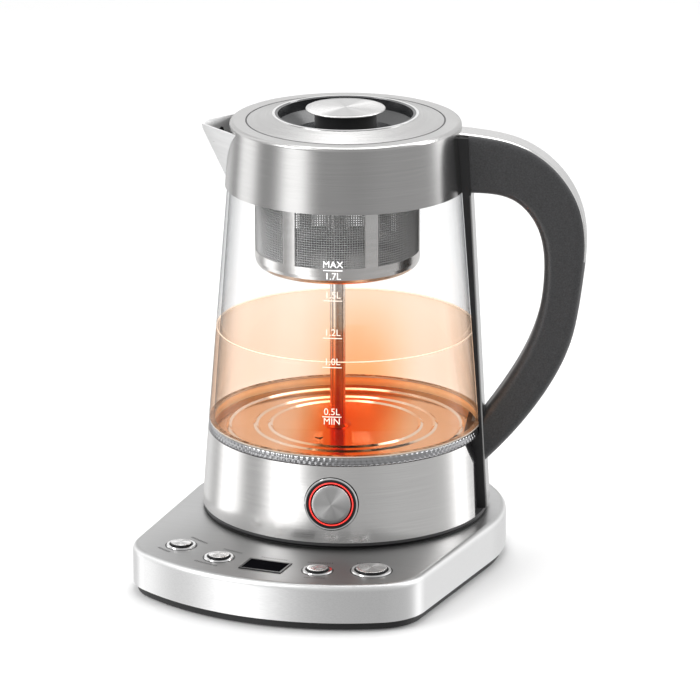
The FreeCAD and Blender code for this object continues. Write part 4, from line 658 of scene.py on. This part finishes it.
def make_spout_hole():
    bpy.context.view_layer.update()
    way = KETTLE.to_3x3() @ HOLE_WAY
    spot = nodes["spout"].ray_cast(KETTLE @ HOLE_START, way)[1]
    place = Matrix.Translation(spot) @ (-way).to_track_quat("Z", "Y").to_matrix().to_4x4()
    hole = new_piece("spout_hole", lathe("spout_hole", HOLE_OUTLINE, 32), black_plastic, "kettle", place)


make_spout_hole()


# Woven filter mesh


def make_weave():
    """Square mesh of thin wires on the basket's inner wall."""
    radius, low, high = 0.0445, 0.1735, 0.2185
    around, rows = 200, 34
    turn = 2 * math.pi / around
    verts = [(radius * math.cos(turn * i), radius * math.sin(turn * i), low + (high - low) * j / rows)
             for j in range(rows + 1) for i in range(around)]
    faces = []
    for j in range(rows):
        for i in range(around):
            a, b = j * around + i, j * around + (i + 1) % around
            faces.append((a, b, b + around, a + around))
    weave = new_piece("basket_weave", mesh_from("basket_weave", verts, faces), weave_steel, "basket", INFUSER)
    wires = weave.modifiers.new("wires", "WIREFRAME")
    wires.thickness = 0.0008
    wires.use_replace = True
    wires.use_even_offset = False
    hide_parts("basket_mesh")


make_weave()


# Tea, with a painted highlight along the edge of its surface, and a loose leaf

TEA_INSET, TEA_ROWS, TEA_FLOOR_RADIUS = 0.0005, 10, 0.0731
# The surface climbs this high on the glass, and this far from the glass it is level
CLIMB_HEIGHT, CLIMB_REACH = 0.0008, 0.0025


def make_tea():
    low = SKIRT_TOP + 0.0001
    profile = [(0, low), (TEA_FLOOR_RADIUS, low), (TEA_FLOOR_RADIUS, GLASS_LOW)]
    for i in range(TEA_ROWS + 1):
        z = GLASS_LOW + (TEA_TOP + CLIMB_HEIGHT - GLASS_LOW) * i / TEA_ROWS
        profile.append((body_radius(z) - TEA_INSET, z))
    reach = body_radius(TEA_TOP) - TEA_INSET
    profile += [(reach - 0.0008, TEA_TOP + 0.0003), (reach - CLIMB_REACH, TEA_TOP), (0, TEA_TOP)]
    tea = new_piece("tea", lathe("tea", profile, 160), tea_material, "kettle", KETTLE)


# A thin glowing white ring on the edge of the tea's surface: painted highlight
def make_tea_rim_highlight():
    reach = body_radius(TEA_TOP) - TEA_INSET
    profile = [(reach - 0.0009, TEA_TOP + 0.0001), (reach - 0.0001, TEA_TOP + 0.0001),
               (reach - 0.0001, TEA_TOP + 0.0007), (reach - 0.0004, TEA_TOP + 0.0005)]
    new_piece("tea_rim", lathe("tea_rim", profile, 160), rim_painted_highlight, "kettle", KETTLE)


LEAF_LENGTH, LEAF_HALF_WIDTH, LEAF_CURL, LEAF_STEPS = 0.0045, 0.0011, 0.0005, 8
LEAF_SPOT, LEAF_TURN = (-0.0115, -0.033, 0.0745), 0.5


def make_leaf():
    """One curled tea leaf on the floor."""
    verts, faces = [], []
    for i in range(LEAF_STEPS + 1):
        share = i / LEAF_STEPS
        half = LEAF_HALF_WIDTH * math.sin(math.pi * share) + 0.0001
        x = (share - 0.5) * LEAF_LENGTH
        lift = LEAF_CURL * math.cos(share * 5)
        verts += [(x, -half, lift + 0.0002), (x, 0, lift), (x, half, lift + 0.0003)]
    for i in range(LEAF_STEPS):
        a = 3 * i
        faces += [(a, a + 3, a + 4, a + 1), (a + 1, a + 4, a + 5, a + 2)]
    place = KETTLE @ Matrix.Translation(LEAF_SPOT) @ Matrix.Rotation(LEAF_TURN, 4, "Z")
    leaf = new_piece("leaf", mesh_from("leaf", verts, faces), leaf_brown, "kettle", place)
    thick = leaf.modifiers.new("thick", "SOLIDIFY")
    thick.thickness = 0.0003


make_tea()
make_tea_rim_highlight()
make_leaf()


# Scale marks on the glass, white print made to glow a little, a painted light; those above MAX_MARK stand
# clear of the tea and look whiter, those below glow fainter in the tea's colour

MAX_MARK = 0.17
MARK_LIFT = 0.00008
WORD_HEIGHT, LINE_LENGTH, LINE_WIDTH, LINE_STEPS = 0.0052, 0.0105, 0.0005, 8
WORDS = (("max_word", "MAX", 0.1839), ("mark_1_7", "1.7L", 0.1775), ("mark_1_5", "1.5L", 0.1672),
         ("mark_1_2", "1.2L", 0.1466), ("mark_1_0", "1.0L", 0.1305), ("mark_0_5", "0.5L", 0.1028),
         ("min_word", "MIN", 0.0975))
LINES = (("line_1_7", 0.1808), ("line_1_5", 0.1642), ("line_1_2", 0.1436), ("line_1_0", 0.1275),
         ("line_0_5", 0.1001))


def mark_piece(name, data, z_middle):
    """Bends a flat mesh, x across and y up, on to the glass and makes a piece of it."""
    for vertex in data.vertices:
        x, y, depth = vertex.co
        z = z_middle + y
        radius = body_radius(z) + MARK_LIFT + depth
        angle = KETTLE_TURN + x / radius
        vertex.co = (radius * math.sin(angle), -radius * math.cos(angle), z)
    return new_piece(name, data, mark_white_painted_glow if z_middle > MAX_MARK else mark_faint_painted_glow, "kettle", smooth=False)


def glass_text(name, words, z):
    curve = bpy.data.curves.new(name, "FONT")
    curve.body = words
    curve.size = WORD_HEIGHT
    curve.align_x = "CENTER"
    curve.align_y = "CENTER"
    text = bpy.data.objects.new(name + "_flat", curve)
    bpy.context.scene.collection.objects.link(text)
    bpy.context.view_layer.update()
    data = bpy.data.meshes.new_from_object(text.evaluated_get(bpy.context.evaluated_depsgraph_get()))
    bpy.data.objects.remove(text)
    return mark_piece(name, data, z)


def glass_line(name, z):
    verts = [((i / LINE_STEPS - 0.5) * LINE_LENGTH, side * LINE_WIDTH / 2, 0)
             for i in range(LINE_STEPS + 1) for side in (-1, 1)]
    faces = [(2 * i, 2 * i + 2, 2 * i + 3, 2 * i + 1) for i in range(LINE_STEPS)]
    return mark_piece(name, mesh_from(name, verts, faces), z)


for mark, words, z in WORDS:
    glass_text(mark, words, z)
for mark, z in LINES:
    glass_line(mark, z)


# Floor, light and camera

FLOOR_RADIUS, FLOOR_SIDES, FLOOR_GLOW = 6.0, 64, 0.08


def make_floor():
    """Pale round floor that keeps the object's shadow and lifts itself a little to white for the camera."""
    turn = 2 * math.pi / FLOOR_SIDES
    verts = [(FLOOR_RADIUS * math.cos(turn * i), FLOOR_RADIUS * math.sin(turn * i), 0)
             for i in range(FLOOR_SIDES)]
    data = mesh_from("floor", verts, [tuple(range(FLOOR_SIDES))])
    floor = bpy.data.objects.new("floor", data)
    bpy.context.scene.collection.objects.link(floor)
    mat = new_material("floor_white", (0.78, 0.78, 0.78), 0.8)
    path = add_node(mat, "ShaderNodeLightPath").outputs
    seen = calculate(mat, "MAXIMUM", path["Is Camera Ray"], path["Is Transmission Ray"])
    glow = add_node(mat, "ShaderNodeEmission")
    link(mat, calculate(mat, "MULTIPLY", seen, FLOOR_GLOW), glow.inputs["Strength"])
    total = add_node(mat, "ShaderNodeAddShader")
    link(mat, shader_of(mat).outputs[0], total.inputs[0])
    link(mat, glow.outputs[0], total.inputs[1])
    use_surface(mat, total.outputs[0])
    data.materials.append(mat)
    floor.visible_glossy = False


make_floor()

# Brightness of the studio's walls by direction, in degrees from the camera's, to its right positive
WALL_TOP = 2.0
LOW_WALL = ((-180, 0.6), (-150, 0.9), (-130, 0.35), (-118, 1.6), (-102, 1.6), (-90, 0.42), (-74, 0.40),
            (-66, 0.9), (-58, 1.9), (-42, 1.9), (-34, 0.75), (-26, 0.42), (-10, 0.46), (12, 0.42), (40, 0.5),
            (60, 0.5), (88, 0.52), (97, 0.9), (103, 1.8), (112, 1.8), (120, 0.6), (132, 0.7), (158, 0.8),
            (180, 0.6))
HIGH_WALL = ((-180, 1.0), (-150, 0.95), (-118, 1.3), (-90, 0.7), (-60, 0.8), (0, 0.5), (60, 0.6), (100, 1.0),
             (150, 0.9), (180, 1.0))


def wall_value(stops, degrees):
    """Brightness at a direction, straight between the stops."""
    degrees = (degrees + 180) % 360 - 180
    for (a, low), (b, high) in zip(stops, stops[1:]):
        if a <= degrees <= b:
            return low + (high - low) * (degrees - a) / (b - a)
    return stops[0][1]


def wall_ramp(world, share, stops):
    """Brightness of the walls round the turn, as shares of WALL_TOP."""
    camera_turn = math.degrees(CAMERA_AZIMUTH)
    inner = sorted(((at + camera_turn + 180) % 360 / 360, value) for at, value in stops[1:])
    edge = wall_value(stops, -180 - camera_turn)
    table = [(0.0, edge)] + inner + [(1.0, edge)]
    return color_ramp(world, share, [(at, [value / WALL_TOP] * 3) for at, value in table])


def make_world():
    """Plain white to the camera; to the object, walls with bright and dark stretches."""
    world = bpy.data.worlds.new("studio")
    bpy.context.scene.world = world
    world.use_nodes = True
    way = split(world, add_node(world, "ShaderNodeTexCoord").outputs["Generated"])
    turn = calculate(world, "ARCTAN2", way["X"], calculate(world, "MULTIPLY", way["Y"], -1))
    share = map_range(world, turn, (-math.pi, math.pi))
    rise = map_range(world, way["Z"], (-0.08, 0.12), smooth=True)
    walls = mix_colors(world, rise, wall_ramp(world, share, LOW_WALL), wall_ramp(world, share, HIGH_WALL))
    lifted = add_node(world, "ShaderNodeVectorMath", operation="SCALE")
    lifted.inputs["Scale"].default_value = WALL_TOP
    link(world, walls, lifted.inputs[0])
    path = add_node(world, "ShaderNodeLightPath").outputs
    direct = calculate(world, "LESS_THAN", path["Glossy Depth"], 0.5)
    through = calculate(world, "MULTIPLY", path["Is Transmission Ray"], direct)
    seen = calculate(world, "MAXIMUM", path["Is Camera Ray"], through)
    background = world.node_tree.nodes["Background"]
    link(world, mix_colors(world, seen, lifted.outputs["Vector"], (1, 1, 1, 1)), background.inputs["Color"])
    background.inputs["Strength"].default_value = 1.0


make_world()

AIM_HEIGHT = 0.12


def add_light(name, azimuth, elevation, distance, size, power):
    """Soft panel that faces the object; azimuth is counted from the camera's."""
    data = bpy.data.lights.new(name, "AREA")
    data.shape = "RECTANGLE"
    data.size, data.size_y = size
    data.energy = power
    light = bpy.data.objects.new(name, data)
    bpy.context.scene.collection.objects.link(light)
    a = CAMERA_AZIMUTH + math.radians(azimuth)
    e = math.radians(elevation)
    way = Vector((math.sin(a) * math.cos(e), -math.cos(a) * math.cos(e), math.sin(e)))
    light.location = Vector((0, 0, AIM_HEIGHT)) + way * distance
    light.rotation_mode = "QUATERNION"
    light.rotation_quaternion = way.to_track_quat("Z", "Y")


add_light("top_panel", 160, 72, 1.6, (1.2, 1.2), 14)
add_light("left_panel", -60, 40, 1.8, (0.7, 1.2), 12)
add_light("right_panel", 95, 35, 1.8, (0.5, 1.2), 6)

# Fitted to the photo's outlines
CAMERA_LENS, CAMERA_DISTANCE, CAMERA_HEIGHT, CAMERA_SIDE = 246.857, 2.667, 0.1155, 0.00244
camera_data = bpy.data.cameras.new("camera")
camera_data.sensor_width = 36
camera_data.lens = CAMERA_LENS
camera_data.clip_start, camera_data.clip_end = 0.1, 50
camera = bpy.data.objects.new("camera", camera_data)
bpy.context.scene.collection.objects.link(camera)
back = Vector((math.sin(CAMERA_AZIMUTH) * math.cos(CAMERA_PITCH),
               -math.cos(CAMERA_AZIMUTH) * math.cos(CAMERA_PITCH), math.sin(CAMERA_PITCH)))
side = Vector((math.cos(CAMERA_AZIMUTH), math.sin(CAMERA_AZIMUTH), 0))
camera.location = Vector((0, 0, CAMERA_HEIGHT)) + side * CAMERA_SIDE + back * CAMERA_DISTANCE
camera.rotation_mode = "QUATERNION"
camera.rotation_quaternion = back.to_track_quat("Z", "Y")
bpy.context.scene.camera = camera
bpy.context.scene.view_settings.view_transform = "Standard"
